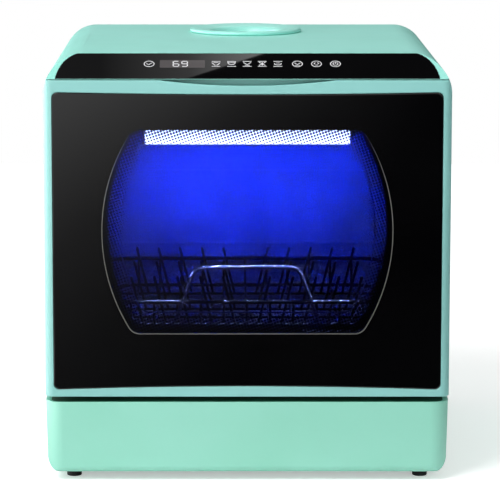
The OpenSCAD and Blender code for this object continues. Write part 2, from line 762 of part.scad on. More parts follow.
// Flat two-bladed arm with a bored hub and rows of nozzles on one face
module spray_arm(reach, thick, tip_r, root_r, nozzle_up) {
  difference() {
    union() {
      cylinder(h = thick, r = root_r + 3);
      for (s = [0, 180]) rotate([0, 0, s]) linear_extrude(thick) {
        polygon([[0, -root_r], [reach - tip_r, -tip_r], [reach - tip_r, tip_r], [0, root_r]]);
        translate([reach - tip_r, 0]) circle(tip_r);
      }
    }
    translate([0, 0, -1]) cylinder(h = thick + 2, r = shaft_r + run_fit);
    for (s = [0, 180], i = [1:5]) rotate([0, 0, s])
      translate([reach * (0.2 + 0.145 * i), i % 2 == 0 ? 3 : -3, nozzle_up ? thick - 2 : -1])
        cylinder(h = 3, r = 1.4, $fn = 16);
  }
}
module lower_spray_arm() color("#c9cdd2") translate([0, hub_y, lower_arm_z])
  spray_arm(lower_arm_r, arm_t, 9, 15, true);
module upper_spray_arm() color("#c9cdd2") translate([0, hub_y, upper_arm_z])
  spray_arm(upper_arm_r, upper_arm_t, 7, 12, false);

riser_x = -half_w + shell_t + 19;
ceiling_z = tub_z1 + 16;
module feed_pipe() color(grey) {
  difference() {
    union() {
      rod_z(pump_z + stub_h, feed_z, pump_x, hub_y, pipe_r);
      rod_x(riser_x, -post_r + 2, hub_y, feed_z, pipe_r);
      rod_z(feed_z, ceiling_z, riser_x, hub_y, pipe_r);
      rod_x(riser_x, 0, hub_y, ceiling_z, pipe_r);
      rod_z(tub_z1 - 8, ceiling_z, 0, hub_y, pipe_r);
      for (p = [[riser_x, feed_z], [riser_x, ceiling_z], [0, ceiling_z]])
        translate([p.x, hub_y, p.y]) sphere(pipe_r);
    }
    rod_z(pump_z - 1, feed_z, pump_x, hub_y, pipe_bore);
    rod_x(riser_x, -post_r - 4, hub_y, feed_z, pipe_bore);
    rod_z(feed_z, ceiling_z, riser_x, hub_y, pipe_bore);
    rod_x(riser_x, 0, hub_y, ceiling_z, pipe_bore);
    rod_z(0, tub_floor_z, 0, hub_y, post_r);
  }
  rod_z(upper_arm_z - arm_play, tub_z1 - 8 + eps, 0, hub_y, shaft_r);
  rod_z(upper_arm_z - arm_play - 3, upper_arm_z - arm_play, 0, hub_y, shaft_r + 3);
}

// ---- Pumps, valve and electrics in the base ----------------------------------------

impeller_r = 22;
impeller_w = 12;
motor_shaft_r = 3;
suction_x = -40;
module wash_pump() color(dark) difference() {
  union() {
    rod_x(pump_x - volute_hw, pump_x + volute_hw, pump_y, pump_z, pump_r);
    rod_x(pump_x - volute_hw - motor_len, pump_x - volute_hw, pump_y, pump_z, motor_r);
    for (i = [0:5]) translate([-9 * i, 0, 0])
      rod_x(pump_x - volute_hw - 10, pump_x - volute_hw - 6, pump_y, pump_z, motor_r + 2);
    rod_z(pump_z, pump_z + stub_h, pump_x, hub_y, pipe_r + 2);
    box([pump_x - 50, pump_y - 20, foot_h + base_t], [pump_x + 10, pump_y + 20, pump_z - 20]);
  }
  rod_x(pump_x - volute_hw + 3, pump_x + volute_hw - 3, pump_y, pump_z, pump_r - 4);
  rod_x(pump_x, pump_x + volute_hw + 1, pump_y, pump_z, 10);
  rod_z(pump_z, pump_z + stub_h + 1, pump_x, hub_y, pipe_bore);
  rod_x(pump_x - volute_hw - 30, pump_x, pump_y, pump_z, motor_shaft_r + run_fit);
}

module pump_impeller() color(steel) {
  rod_x(pump_x - volute_hw - 29, pump_x, pump_y, pump_z, motor_shaft_r);
  rod_x(pump_x - impeller_w / 2, pump_x + impeller_w / 2, pump_y, pump_z, motor_shaft_r + 3);
  rod_x(pump_x - impeller_w / 2, pump_x - impeller_w / 2 + 2, pump_y, pump_z, impeller_r);
  for (a = [0:45:315]) translate([pump_x, pump_y, pump_z]) rotate([a, 0, 0])
    box([1 - impeller_w / 2, 4, -1], [impeller_w / 2 - 1, impeller_r - 1, 1]);
}

module suction_pipe() color(grey) difference() {
  union() {
    rod_x(pump_x + volute_hw, suction_x, pump_y, pump_z, 12);
    rod_y(hub_y, pump_y, suction_x, pump_z, 12);
    rod_z(pump_z, sump_z0, suction_x, hub_y, 12);
    for (y = [hub_y, pump_y]) translate([suction_x, y, pump_z]) sphere(12);
  }
  rod_x(pump_x + volute_hw - 1, suction_x, pump_y, pump_z, 10);
  rod_y(hub_y, pump_y, suction_x, pump_z, 10);
  rod_z(pump_z, sump_z0 + 1, suction_x, hub_y, 10);
}

drain_head_r = 22;
drain_head_w = 20;
drain_motor_r = 18;
drain_motor_w = 44;
drain_head_x = drain_x - 41;
drain_in_x = sump_r - 20;
drain_in_r = 9;
drain_out_x = drain_x - 30;
module drain_pump() color("#3d5a80") difference() {
  union() {
    rod_x(drain_head_x, drain_head_x + drain_head_w, hub_y, drain_z, drain_head_r);
    rod_x(drain_head_x + drain_head_w, drain_head_x + drain_head_w + drain_motor_w,
      hub_y, drain_z, drain_motor_r);
    rod_x(drain_in_x, drain_head_x, hub_y, drain_z, drain_in_r);
    rod_z(drain_z, sump_z0, drain_in_x, hub_y, drain_in_r);
    translate([drain_in_x, hub_y, drain_z]) sphere(drain_in_r);
    rod_y(hub_y, hub_y + drain_head_r + 8, drain_out_x, drain_z, drain_in_r);
    box([drain_head_x + 6, hub_y - 14, foot_h + base_t],
      [drain_head_x + drain_head_w + 36, hub_y + 14, drain_z - drain_motor_r + 4]);
  }
  rod_z(drain_z, sump_z0 + 1, drain_in_x, hub_y, drain_in_r - 2);
  rod_x(drain_in_x, drain_head_x + 2, hub_y, drain_z, drain_in_r - 2);
}

hose_r = 8;
hose_bore = 6;
hose_y0 = hub_y + drain_head_r + 8;
hose_turn_y = board_y0 + 12;
module drain_hose() color(grey) difference() {
  union() {
    rod_y(hose_y0, hose_turn_y, drain_out_x, drain_z, hose_r);
    rod_x(drain_out_x, drain_x, hose_turn_y, drain_z, hose_r);
    rod_y(hose_turn_y, port_y - base_t - 4, drain_x, drain_z, hose_r);
    for (x = [drain_out_x, drain_x]) translate([x, hose_turn_y, drain_z]) sphere(hose_r);
  }
  rod_y(hose_y0 - 1, hose_turn_y, drain_out_x, drain_z, hose_bore);
  rod_x(drain_out_x, drain_x, hose_turn_y, drain_z, hose_bore);
  rod_y(hose_turn_y, port_y, drain_x, drain_z, hose_bore);
}

spigot_r = 9;
module drain_spigot() color(dark) difference() {
  union() {
    rod_y(port_y - base_t - 4, port_y + 22, drain_x, drain_z, spigot_r);
    rod_y(port_y, port_y + 3, drain_x, drain_z, spigot_r + 4);
  }
  rod_y(port_y - 10, port_y + 23, drain_x, drain_z, 6);
}

port_r = 13;
module inlet_port() color(white) difference() {
  union() {
    rod_y(port_y - base_t - 3, port_y + 16, inlet_x, drain_z, port_r);
    rod_y(port_y, port_y + 3, inlet_x, drain_z, port_r + 3);
  }
  rod_y(port_y - 10, port_y + 17, inlet_x, drain_z, 9);
}

module inlet_valve() color("#d8d2c2") {
  difference() {
    union() {
      box([inlet_x - 15, port_y - 40, drain_z - 15], [inlet_x + 15, port_y - base_t - 3, drain_z + 15]);
      rod_z(drain_z, tank_z0, inlet_x, port_y - 22, 7);
    }
    rod_y(port_y - 30, port_y, inlet_x, drain_z, 8);
    rod_z(drain_z, tank_z0 + 1, inlet_x, port_y - 22, 5);
  }
  rod_y(port_y - 62, port_y - 40, inlet_x, drain_z, 12);
}

module power_board() color("#1f6b46") {
  box([board_x0, board_y0, board_z0], [board_x0 + board_w, board_y0 + board_d, board_z1]);
  for (x = [board_x0 + 5, board_x0 + board_w - 5], y = [board_y0 + 5, board_y0 + board_d - 5])
    rod_z(foot_h + base_t, board_z0, x, y, 3);
  for (x = [board_x0 + 20, board_x0 + 50]) rod_z(board_z1, board_z1 + 24.4, x, board_y0 + 22, 10);
  box([board_x0 + 70, board_y0 + 10, board_z1], [board_x0 + 98, board_y0 + 34, board_z1 + 18.4]);
  box([board_x0 + 16, board_y0 + 46, board_z1], [board_x0 + 60, board_y0 + 66, board_z1 + 14.4]);
}

module lamp_lens() color("#4f6dff")
  box([-lamp_hw + seat_gap, lamp_y0 + seat_gap, tub_z1 - 1.5],
    [lamp_hw - seat_gap, lamp_y0 + lamp_d - seat_gap, tub_z1 + tub_t]);
module lamp_housing() color(dark)
  box([-lamp_hw - 5, lamp_y0 - 4, tub_z1 + tub_t], [lamp_hw + 5, lamp_y0 + lamp_d + 4, tub_z1 + 14]);

neck_h = 28;
blower_y0 = blower_y1 - blower_d;
blower_wall = 2;
spindle_r = 2;
module blower_housing() color(dark) difference() {
  union() {
    rod_y(blower_y0, blower_y1, blower_x, blower_z, blower_r + blower_wall);
    box([duct_x1, blower_y0, blower_z], [blower_x, blower_y1, blower_z + neck_h]);
  }
  rod_y(blower_y0 + blower_wall, blower_y1 - blower_wall, blower_x, blower_z, blower_r);
  box([duct_x1 - 1, blower_y0 + blower_wall, blower_z + 4],
    [blower_x, blower_y1 - blower_wall, blower_z + neck_h - blower_wall]);
  rod_y(blower_y1 - 3, blower_y1 + 1, blower_x, blower_z, blower_r - 8);
  rod_y(blower_y0 - 1, blower_y1, blower_x, blower_z, spindle_r + run_fit);
}

blade_out = blower_r - 4;
blade_in = blower_r - 11;
module blower_wheel() color(steel) {
  rod_y(blower_y0 - 0.5, blower_y1 - 5, blower_x, blower_z, spindle_r);
  rod_y(blower_y0 + 4, blower_y0 + 6, blower_x, blower_z, blade_out);
  for (a = [0:30:330]) translate([blower_x, 0, blower_z]) rotate([0, a, 0])
    box([blade_in, blower_y0 + 4, -0.8], [blade_out, blower_y1 - 5, 0.8]);
}

duct_wall = 2;
duct_y0 = tub_y1 + tub_t;
duct_top = vent_z + vent_h + 4;
module air_duct() color(grey) difference() {
  union() {
    box([duct_x0, blower_y0, blower_z], [duct_x1, blower_y1 - 8, duct_top]);
    box([duct_x0, duct_y0, vent_z - 4], [duct_x1, blower_y0 + 1, duct_top]);
    box([duct_x0, duct_y0, vent_z - 4], [vent_x + vent_w + 3, tank_y0 - 1, duct_top]);
  }
  box([duct_x0 + duct_wall, blower_y0 + duct_wall, blower_z + 4],
    [duct_x1 - duct_wall, blower_y1 - 10, vent_z + vent_h]);
  box([duct_x1 - duct_wall - 1, blower_y0 + duct_wall, blower_z + 4],
    [duct_x1 + 1, blower_y1 - 10, blower_z + neck_h - blower_wall]);
  box([duct_x0 + duct_wall, duct_y0 + 1, vent_z], [duct_x1 - duct_wall, blower_y0 + 3, vent_z + vent_h]);
  box([duct_x0 + duct_wall, duct_y0 + 1, vent_z], [vent_x + vent_w, tank_y0 - 3, vent_z + vent_h]);
  box([vent_x, tub_y1, vent_z], [vent_x + vent_w, tank_y0 - 3, vent_z + vent_h]);
}

// ---- Door hinge and latch ------------------------------------------------------------

bracket_w = 8;
bracket_r = 5;
stem_in = 15;
stem_out = 23;
module hinge_brackets() color(dark) both_sides() difference() {
  union() {
    along_x(hinge_x - bracket_w / 2, hinge_x + bracket_w / 2) {
      translate([hinge_y, hinge_z]) circle(bracket_r);
      translate([hinge_y, hinge_z - bracket_r]) square([stem_out, 2 * bracket_r]);
      translate([hinge_y + stem_in, boss_z]) square([stem_out - stem_in, hinge_z - boss_z]);
    }
    box([hinge_x - 10, front_y + 11, boss_z], [hinge_x + 10, front_y + 37, boss_z + 3]);
  }
  rod_x(hinge_x - 10, hinge_x + 10, hinge_y, hinge_z, hinge_pin_r + run_fit);
}

pin_hw = 12;
module hinge_pins() color(steel) both_sides()
  rod_x(hinge_x - pin_hw, hinge_x + pin_hw, hinge_y, hinge_z, hinge_pin_r);

module bracket_slots() both_sides()
  box([hinge_x - bracket_w / 2 - 1.5, front_y + 2, door_z0 - 1],
    [hinge_x + bracket_w / 2 + 1.5, door_y1 + 1, hinge_z + bracket_r + 1.5]);

module catch_block() color(dark) difference() {
  box([-latch_hw - 6, tub_y0 + flange_t, latch_z - 8], [latch_hw + 6, tub_y0 + flange_t + 18, latch_z + 9]);
  box([-latch_hw - 2, tub_y0 + flange_t - 1, latch_z - latch_hh - 2.5],
    [latch_hw + 2, tub_y0 + flange_t + 14, latch_z + 6]);
  rod_y(tub_y0, tub_y0 + flange_t + 19, 0, latch_z, 2.4);
}

plunger_y0 = door_y1 + latch_reach + 5 + move_gap;
switch_y0 = tub_y0 + flange_t + 18;
module door_switch() color("#7a2d2a") difference() {
  box([-10, switch_y0, latch_z - 6], [10, switch_y0 + 11, latch_z + 6]);
  rod_y(switch_y0 - 1, switch_y0 + 7, 0, latch_z, 1.5 + run_fit);
}
module switch_plunger() color(white) rod_y(plunger_y0, switch_y0 + 4, 0, latch_z, 1.5);

module latch_striker() color(steel) {
  box([-latch_hw - 3, door_y1, latch_z - 5], [latch_hw + 3, door_y1 + 1.5, latch_z + 4]);
  box([-latch_hw, door_y1, latch_z - 1.5], [latch_hw, door_y1 + latch_reach + 5, latch_z + 1.5]);
  box([-latch_hw, door_y1 + latch_reach + 1, latch_z - latch_hh],
    [latch_hw, door_y1 + latch_reach + 5, latch_z + 1.5]);
}

// ---- Door -------------------------------------------------------------------------------

head_step = 1.5;
scoop_r = (scoop_hw * scoop_hw + scoop_drop * scoop_drop) / (2 * scoop_drop);
module door_frame() color(mint) difference() {
  intersection() {
    along_y(front_y, liner_y0) intersection() {
      cabinet_front(0, door_z0);
      translate([-half_w, door_z0]) square([body_w, door_z1 - door_z0]);
    }
    along_z(door_z0, door_z1) cabinet_plan(0, front_corner_r, rear_corner_r);
    along_x(-half_w, half_w) polygon([[front_y, door_z0], [front_y, door_z1], [hinge_y + 2, door_z1],
      [hinge_y + 2, door_z1 - head_step], [liner_y0, door_z1 - head_step], [liner_y0, door_z0]]);
  }
  along_y(front_y - 1, glass_y1) glass_outline(-seat_gap);
  along_y(glass_y1 - 1, liner_y0 + 1) glass_outline(glass_ledge);
  bracket_slots();
  rod_x(-hinge_x - pin_hw, -hinge_x + pin_hw, hinge_y, hinge_z, hinge_pin_r);
  rod_x(hinge_x - pin_hw, hinge_x + pin_hw, hinge_y, hinge_z, hinge_pin_r);
  // Finger scoop in the top edge
  along_y(front_y - 1, front_y + scoop_in) intersection() {
    translate([-scoop_hw, door_z1 - scoop_drop]) square([2 * scoop_hw, scoop_drop + 1]);
    polygon(concat([for (i = [-12:12]) let (a = asin(scoop_hw / scoop_r) * i / 12)
      [scoop_r * sin(a), door_z1 - scoop_drop + scoop_r * (1 - cos(a))]],
      [[scoop_hw, door_z1 + 2], [-scoop_hw, door_z1 + 2]]));
  }
}

module door_glass() color("#0c0d0f") along_y(glass_y0, glass_y1) glass_outline(0);

module window_bezel() color("#101114") difference() {
  along_y(glass_y1, glass_y1 + bezel_t) glass_outline(glass_ledge + seat_gap);
  along_y(glass_y1 - 1, glass_y1 + bezel_t + 1) window_outline(0);
}

bar_z0 = window_z1 - window_border;
bar_hw = window_hw - 45;
bar_t = 7;
module light_bar() color("#eef3ff")
  box([-bar_hw, glass_y1 + bezel_t, bar_z0], [bar_hw, glass_y1 + bezel_t + bar_t, window_z1 + 6]);

liner_hw = half_w - liner_inset;
liner_z0 = door_z0 + 5;
liner_z1 = door_z1 - 5;
pane_t = 3;
module door_liner() color("#cfd4d8") difference() {
  union() {
    along_y(liner_y0, door_y1) soft_rect(-liner_hw, liner_z0, liner_hw, liner_z1, 10);
    for (z = [cup_z - soap_h / 2 - 4, cup_z + soap_h / 2 + 2.2])
      box([cup_x - soap_w * 1.5, door_y1, z], [cup_x + soap_w / 2, door_y1 + cover_t, z + 1.6]);
  }
  along_y(liner_y0 - 1, door_y1 + 1) window_outline(4);
  box([cup_x - soap_w / 2 - 0.2, liner_y0 - 1, cup_z - soap_h / 2 - 0.2],
    [cup_x + soap_w / 2 + 0.2, door_y1 + 1, cup_z + soap_h / 2 + 0.2]);
  bracket_slots();
}

module inner_window() color("#dfe6f5") along_y(liner_y0 - pane_t, liner_y0) window_outline(-pane_lap);

module detergent_cup() color(white) difference() {
  box([cup_x - soap_w / 2, door_y1 - soap_d, cup_z - soap_h / 2],
    [cup_x + soap_w / 2, door_y1, cup_z + soap_h / 2]);
  box([cup_x - soap_w / 2 + 1.5, door_y1 - soap_d + 1.5, cup_z - soap_h / 2 + 1.5],
    [cup_x + soap_w / 2 - 1.5, door_y1 + 1, cup_z + soap_h / 2 - 1.5]);
}

module detergent_cover() color("#9aa1a8") {
  box([cup_x - soap_w / 2, door_y1 + 0.1, cup_z - soap_h / 2 - 2],
    [cup_x + soap_w / 2, door_y1 + cover_t, cup_z + soap_h / 2 + 2]);
  for (x = [-6, 0, 6])
    box([cup_x + x - 1, door_y1 + cover_t, cup_z - 7], [cup_x + x + 1, door_y1 + cover_t + 1.2, cup_z + 7]);
}

// ---- Rack -------------------------------------------------------------------------------

// Closed loop of wire: four straight sides and four quarter turns
module wire_loop(hw, y0, y1, z, d, r) {
  for (x = [-hw, hw]) wire([x, y0 + r, z], [x, y1 - r, z], d);
  for (y = [y0, y1]) wire([-hw + r, y, z], [hw - r, y, z], d);
  for (c = [[hw - r, y1 - r, 0], [-hw + r, y1 - r, 90], [-hw + r, y0 + r, 180], [hw - r, y0 + r, 270]])
    translate([c.x, c.y, z]) rotate([0, 0, c.z]) rotate_extrude(angle = 90)
      translate([r, 0]) circle(d = d, $fn = 24);
}

loop_z = rack_floor_z + floor_wire;
handle_z = rack_rim_z + handle_rise;
handle_bend = 14;
handle_lean = 70;
tine_lean = 14;
module rack_handle() {
  c = [handle_hw, handle_z - handle_bend];
  a = 90 - handle_lean;
  knee = c + handle_bend * [cos(a), sin(a)];
  leg = (knee.y - loop_z) / sin(handle_lean);
  foot = knee + leg * [cos(handle_lean), -sin(handle_lean)];
  tuck = 0.5 * [-cos(handle_lean), sin(handle_lean)];
  top_hw = handle_hw + 0.5;
  wire([-top_hw, rack_y0, handle_z], [top_hw, rack_y0, handle_z], rim_wire);
  both_sides() {
    translate([c.x, rack_y0, c.y]) rotate([90, 0, 0]) rotate([0, 0, a])
      rotate_extrude(angle = handle_lean) translate([handle_bend, 0]) circle(d = rim_wire + 0.1, $fn = 24);
    wire([knee.x + tuck.x, rack_y0, knee.y + tuck.y], [foot.x, rack_y0, foot.y], rim_wire);
  }
}

low_hw = rack_hw - rack_taper;
low_y0 = rack_y0 + rack_taper / 2;
low_y1 = rack_y1 - rack_taper;
low_r = rim_wire / 2 - 0.2;
wires_x = floor(low_hw / wire_pitch);
wires_y = floor((low_y1 - low_y0) / wire_pitch / 4);
function cross_y(i) = (low_y0 + low_y1) / 2 + 2 * i * wire_pitch;

module wire_rack() color(dark) {
  wire_loop(rack_hw, rack_y0, rack_y1, rack_rim_z, rim_wire, rack_corner_r);
  wire_loop(low_hw, low_y0, low_y1, loop_z, 2 * low_r, rack_corner_r);
  for (i = [-wires_x + 1:wires_x - 1]) {
    x = i * wire_pitch;
    wire([x, low_y1, loop_z], [x, rack_y1, rack_rim_z], floor_wire);
    wire([x, low_y0, loop_z], [x, rack_y0, rack_rim_z], floor_wire);
  }
  for (i = [-wires_y:wires_y]) both_sides()
    wire([low_hw, cross_y(i), loop_z], [rack_hw, cross_y(i), rack_rim_z], floor_wire);
  rack_handle();
  both_sides() for (y = wheel_ys) rod_x(low_hw - 1, wheel_x + wheel_w + 2, y, wheel_z, wheel_pin_r);
}

// Floor wires inside the lower loop, resting on cross wires that are welded under it
cross_top = loop_z - low_r;
module rack_floor() color(dark) {
  for (i = [-wires_x + 1:wires_x - 1])
    rod_y(low_y0 + low_r, low_y1 - low_r, i * wire_pitch, cross_top + floor_wire / 2, floor_wire / 2);
  for (i = [-wires_y:wires_y])
    rod_x(-low_hw, low_hw, cross_y(i), cross_top - floor_wire / 2, floor_wire / 2);
}

// Leaning plate tines, each welded by its foot on a cross wire
module rack_tines() color(dark) difference() {
  for (i = [-wires_y:2:wires_y], j = [-wires_x + 1:wires_x - 2]) {
    x = (j + 0.5) * wire_pitch;
    lean = tine_len * sin(tine_lean) * (x < 0 ? -1 : 1);
    wire([x, cross_y(i), cross_top - 1],
      [x + lean, cross_y(i), cross_top - 1 + tine_len * cos(tine_lean)], floor_wire);
  }
  box([-low_hw, low_y0, cross_top - 3], [low_hw, low_y1, cross_top]);
}

wheel_ys = [rack_y0 + wheel_inset, rack_y1 - wheel_inset];
module wheel(side, y) color(grey) difference() {
  x0 = side > 0 ? wheel_x : -wheel_x - wheel_w;
  rod_x(x0, x0 + wheel_w, y, wheel_z, wheel_r);
  rod_x(-half_w, half_w, y, wheel_z, wheel_pin_r + run_fit);
  for (a = [0:60:300]) translate([0, y, wheel_z]) rotate([a, 0, 0])
    rod_x(-half_w, half_w, wheel_r * 0.62, 0, 1.4);
}
module wheel_front_left() wheel(-1, wheel_ys[0]);
module wheel_front_right() wheel(1, wheel_ys[0]);
module wheel_rear_left() wheel(-1, wheel_ys[1]);
module wheel_rear_right() wheel(1, wheel_ys[1]);

outer_shell();
base_pan();
rubber_feet();
back_panel();
back_screws();
control_panel();
control_tray();
control_board();
inlet_funnel();
inlet_strainer();
fill_duct();
water_tank();
tank_hose();
tub();
tub_gasket();
rack_rails();
sump();
heater_element();
filter_plate();
filter_cup();
spray_hub();
lower_spray_arm();
upper_spray_arm();
feed_pipe();
wash_pump();
pump_impeller();
suction_pipe();
drain_pump();
drain_hose();
drain_spigot();
inlet_port();
inlet_valve();
power_board();
cord_gland();
lamp_housing();
lamp_lens();
blower_housing();
blower_wheel();
air_duct();
hinge_brackets();
hinge_pins();
catch_block();
door_switch();
switch_plunger();
door_frame();
door_glass();
window_bezel();
light_bar();
inner_window();
door_liner();
detergent_cup();
detergent_cover();
latch_striker();
wire_rack();
rack_floor();
rack_tines();
wheel_front_left();
wheel_front_right();
wheel_rear_left();
wheel_rear_right();
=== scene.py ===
"""Countertop dishwasher: mint cabinet, black glass door with a lit window, wire rack, spray arms.

Shapes are worked out in millimetres, in the frame of the CAD model, and turned to metres as
the meshes are made. Origin at the centre of the footprint, +X right, +Y rear, +Z up.
"""
import json
import math

import bmesh
import bpy
import numpy as np
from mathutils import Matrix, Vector


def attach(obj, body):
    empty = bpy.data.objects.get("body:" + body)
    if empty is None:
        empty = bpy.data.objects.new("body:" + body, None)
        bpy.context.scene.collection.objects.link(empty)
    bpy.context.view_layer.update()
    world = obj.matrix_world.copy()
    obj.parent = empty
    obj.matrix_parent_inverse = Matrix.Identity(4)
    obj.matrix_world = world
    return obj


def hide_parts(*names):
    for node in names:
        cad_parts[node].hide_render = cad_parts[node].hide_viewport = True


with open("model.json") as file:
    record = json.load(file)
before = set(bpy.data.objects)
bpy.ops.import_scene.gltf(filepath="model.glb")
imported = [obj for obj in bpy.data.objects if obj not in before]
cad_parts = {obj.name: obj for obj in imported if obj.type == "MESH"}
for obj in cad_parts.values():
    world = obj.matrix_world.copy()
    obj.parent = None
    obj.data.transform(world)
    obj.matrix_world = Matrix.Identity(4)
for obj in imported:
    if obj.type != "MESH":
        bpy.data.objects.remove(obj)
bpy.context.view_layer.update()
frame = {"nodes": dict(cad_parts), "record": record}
NODES = frame["nodes"]
BODY = {n: b for b, nodes in frame["record"]["behaviour"]["bodies"].items() for n in nodes}
SLOT = {s["node"]: s["material_slot"] for s in frame["record"]["subparts"]}
MM = 0.001

# Sizes shared by several pieces, in millimetres
FRONT = -215.0
GLASS_FRONT, GLASS_BACK = -214.7, -210.7
WINDOW_MID, WINDOW_HALF_W, WINDOW_HALF_H = 269.0, 153.0, 108.5
WINDOW_SIDE_R, WINDOW_CORNER_R = 200.0, 14
SLOPE = math.radians(29.168)
HEADER_Z = 431.0
HUB_Y = -16.0


# ---- Camera ---------------------------------------------------------------------

camera = bpy.data.objects.new("camera", bpy.data.cameras.new("camera"))
bpy.context.scene.collection.objects.link(camera)
camera.location = (-0.023, -3.175, 0.7278)
camera.rotation_euler = (math.radians(90 - 8.37), 0, 0)
camera.data.lens = 204.5
camera.data.shift_x = 0.0488
camera.data.shift_y = -0.079
bpy.context.scene.camera = camera


# ---- Materials ------------------------------------------------------------------

def linear(code):
    """Linear red, green, blue and alpha 1 of an sRGB hex colour."""
    c = np.array([int(code[i:i + 2], 16) for i in (1, 3, 5)]) / 255
    c = np.where(c <= 0.04045, c / 12.92, ((c + 0.055) / 1.055) ** 2.4)
    return (*c.tolist(), 1.0)


def add(tree, kind, settings=None, links=None):
    """A node with its settings and links. A key is an input's name or place, a property, or ramp."""
    n = tree.nodes.new("ShaderNode" + kind)
    for key, value in (settings or {}).items():
        if key == "ramp":
            while len(n.color_ramp.elements) < len(value):
                n.color_ramp.elements.new(0.5)
            for stop, (place, colour) in zip(n.color_ramp.elements, value):
                stop.position, stop.color = place, colour
        elif isinstance(key, int) or key in n.inputs:
            n.inputs[key].default_value = value
        else:
            setattr(n, key, value)
    for key, source in (links or {}).items():
        tree.links.new(source, n.inputs[key])
    return n


def blank(name):
    """An empty material, its tree and its output node."""
    m = bpy.data.materials.new(name)
    m.use_nodes = True
    m.node_tree.nodes.clear()
    return m, m.node_tree, add(m.node_tree, "OutputMaterial")


def per_mm(size):
    """Texture scale whose features are this many millimetres apart, on coordinates in metres."""
    return 1000.0 / size


def moulded(name, tone, other, rough, grain_mm, relief, cloud_mm=80.0, spread=0.05, **sockets):
    """Moulded or coated surface: two near tones in soft clouds, a roughness that wanders by the
    spread, and the tool's fine grain as bump of a relief in millimetres."""
    m, t, out = blank(name)
    place = add(t, "TexCoord").outputs["Object"]
    cloud = add(t, "TexNoise", {"Scale": per_mm(cloud_mm), "Detail": 2.0}, {"Vector": place})
    tint = add(t, "ValToRGB", {"ramp": [(0.35, linear(tone)), (0.65, linear(other))]},
               {"Fac": cloud.outputs["Fac"]})
    polish = add(t, "MapRange", {"To Min": rough - spread, "To Max": rough + spread},
                 {"Value": add(t, "TexNoise", {"Scale": per_mm(cloud_mm * 0.3), "Detail": 3.0},
                               {"Vector": place}).outputs["Fac"]})
    grain = add(t, "TexNoise", {"Scale": per_mm(grain_mm), "Detail": 2.0, "Roughness": 0.6},
                {"Vector": place})
    bump = add(t, "Bump", {"Strength": 0.6, "Distance": relief * MM},
               {"Height": grain.outputs["Fac"]})
    skin = add(t, "BsdfPrincipled", sockets, {"Base Color": tint.outputs["Color"],
               "Roughness": polish.outputs["Result"], "Normal": bump.outputs["Normal"]})
    t.links.new(skin.outputs["BSDF"], out.inputs["Surface"])
    return m


# ABS moulded in mint, semi-gloss: soft wide highlights with the faint ripple of a large mould
mint_abs = moulded("mint_abs", "#91d8c4", "#8cd5bf", 0.38, 1.6, 0.012, cloud_mm=120.0,
                   **{"Specular IOR Level": 0.9})
# The same ABS in the shell's own batch, a shade paler and bluer
shell_abs = moulded("mint_shell_abs", "#9ae8db", "#95e4d6", 0.38, 1.6, 0.012, cloud_mm=120.0,
                    **{"Specular IOR Level": 0.7})
# And in the door's, bluer again
door_abs = moulded("mint_door_abs", "#88cac5", "#84c4bf", 0.36, 1.6, 0.012, cloud_mm=120.0,
                   **{"Specular IOR Level": 0.9})
# ABS moulded black with a fine spark-eroded grain, so that it stays dark and matte
black_abs = moulded("black_grained_abs", "#17191c", "#1c1e21", 0.58, 0.6, 0.03)
# Polypropylene, natural white: a waxy soft sheen, nearly smooth
white_pp = moulded("white_polypropylene", "#d2d7de", "#c8ced6", 0.42, 1.2, 0.01)
# Polypropylene filled grey: duller than the white, with a little mould grain
grey_pp = moulded("grey_polypropylene", "#70757c", "#676c73", 0.50, 0.9, 0.02)
# Polypropylene of the spray arms, pale grey with a satin sheen
arm_pp = moulded("pale_grey_polypropylene", "#c6cbd1", "#bcc2c9", 0.38, 1.0, 0.012)
# EPDM rubber of the feet: dull black, slightly dusty
foot_rubber = moulded("foot_rubber", "#17171a", "#202124", 0.78, 0.8, 0.03)
# Painted shade: dark green matte rubber-like sheet that stands for the shade in the gap under the door
gap_shade_rubber = moulded("green_painted_gap_shade", "#0d4f39", "#115840", 0.7, 0.8, 0.03)
# Silicone rubber of the door seal: dark grey with a greasy soft sheen
seal_silicone = moulded("seal_silicone", "#35383c", "#3d4045", 0.55, 1.0, 0.015)
# Nylon dip coating on steel wire: thick, smooth and slightly glossy, so that its top catches light
coated_wire = moulded("nylon_coated_wire", "#23262d", "#1d2026", 0.28, 2.0, 0.01)
# The same dip made pale grey on the rack's handle, painted light that stands in for the light the handle
# catches
handle_painted_light_coat = moulded("pale_wire_painted_light", "#a9abb0", "#a0a2a8", 0.30, 2.0, 0.01)
# Solder mask over a glass-epoxy board: glossy green with the weave just showing
board_epoxy = moulded("green_solder_mask", "#1f6b46", "#1a5f3d", 0.35, 0.7, 0.02)
# Blow-moulded tank: translucent-looking natural polypropylene
tank_pp = moulded("natural_tank_polypropylene", "#e0e9ec", "#d4dfe3", 0.36, 2.5, 0.03)
# Nylon moulding of the inlet valve
valve_nylon = moulded("cream_nylon", "#d8d2c2", "#cfc8b6", 0.45, 0.9, 0.02)
# Enamelled can of the drain motor
motor_enamel = moulded("blue_motor_enamel", "#3d5a80", "#365276", 0.35, 1.2, 0.01)
# Thermoset case of the door switch
switch_case = moulded("brown_switch_case", "#7a2d2a", "#6c2623", 0.5, 0.8, 0.02)
# Black electro-coat on the hinge steel: thin and satin, the metal's flatness shows
hinge_coat = moulded("black_electrocoat", "#131416", "#191a1d", 0.40, 1.0, 0.01)
# Grey ink that paints a highlight line round the window's edge
painted_highlight_ink = moulded("grey_painted_highlight", "#5f5f5b", "#565652", 0.35, 0.5, 0.005)
# Black ceramic ink of the dots, fired on the glass
ink_black = moulded("black_ceramic_ink", "#060607", "#0a0a0b", 0.45, 0.5, 0.005)


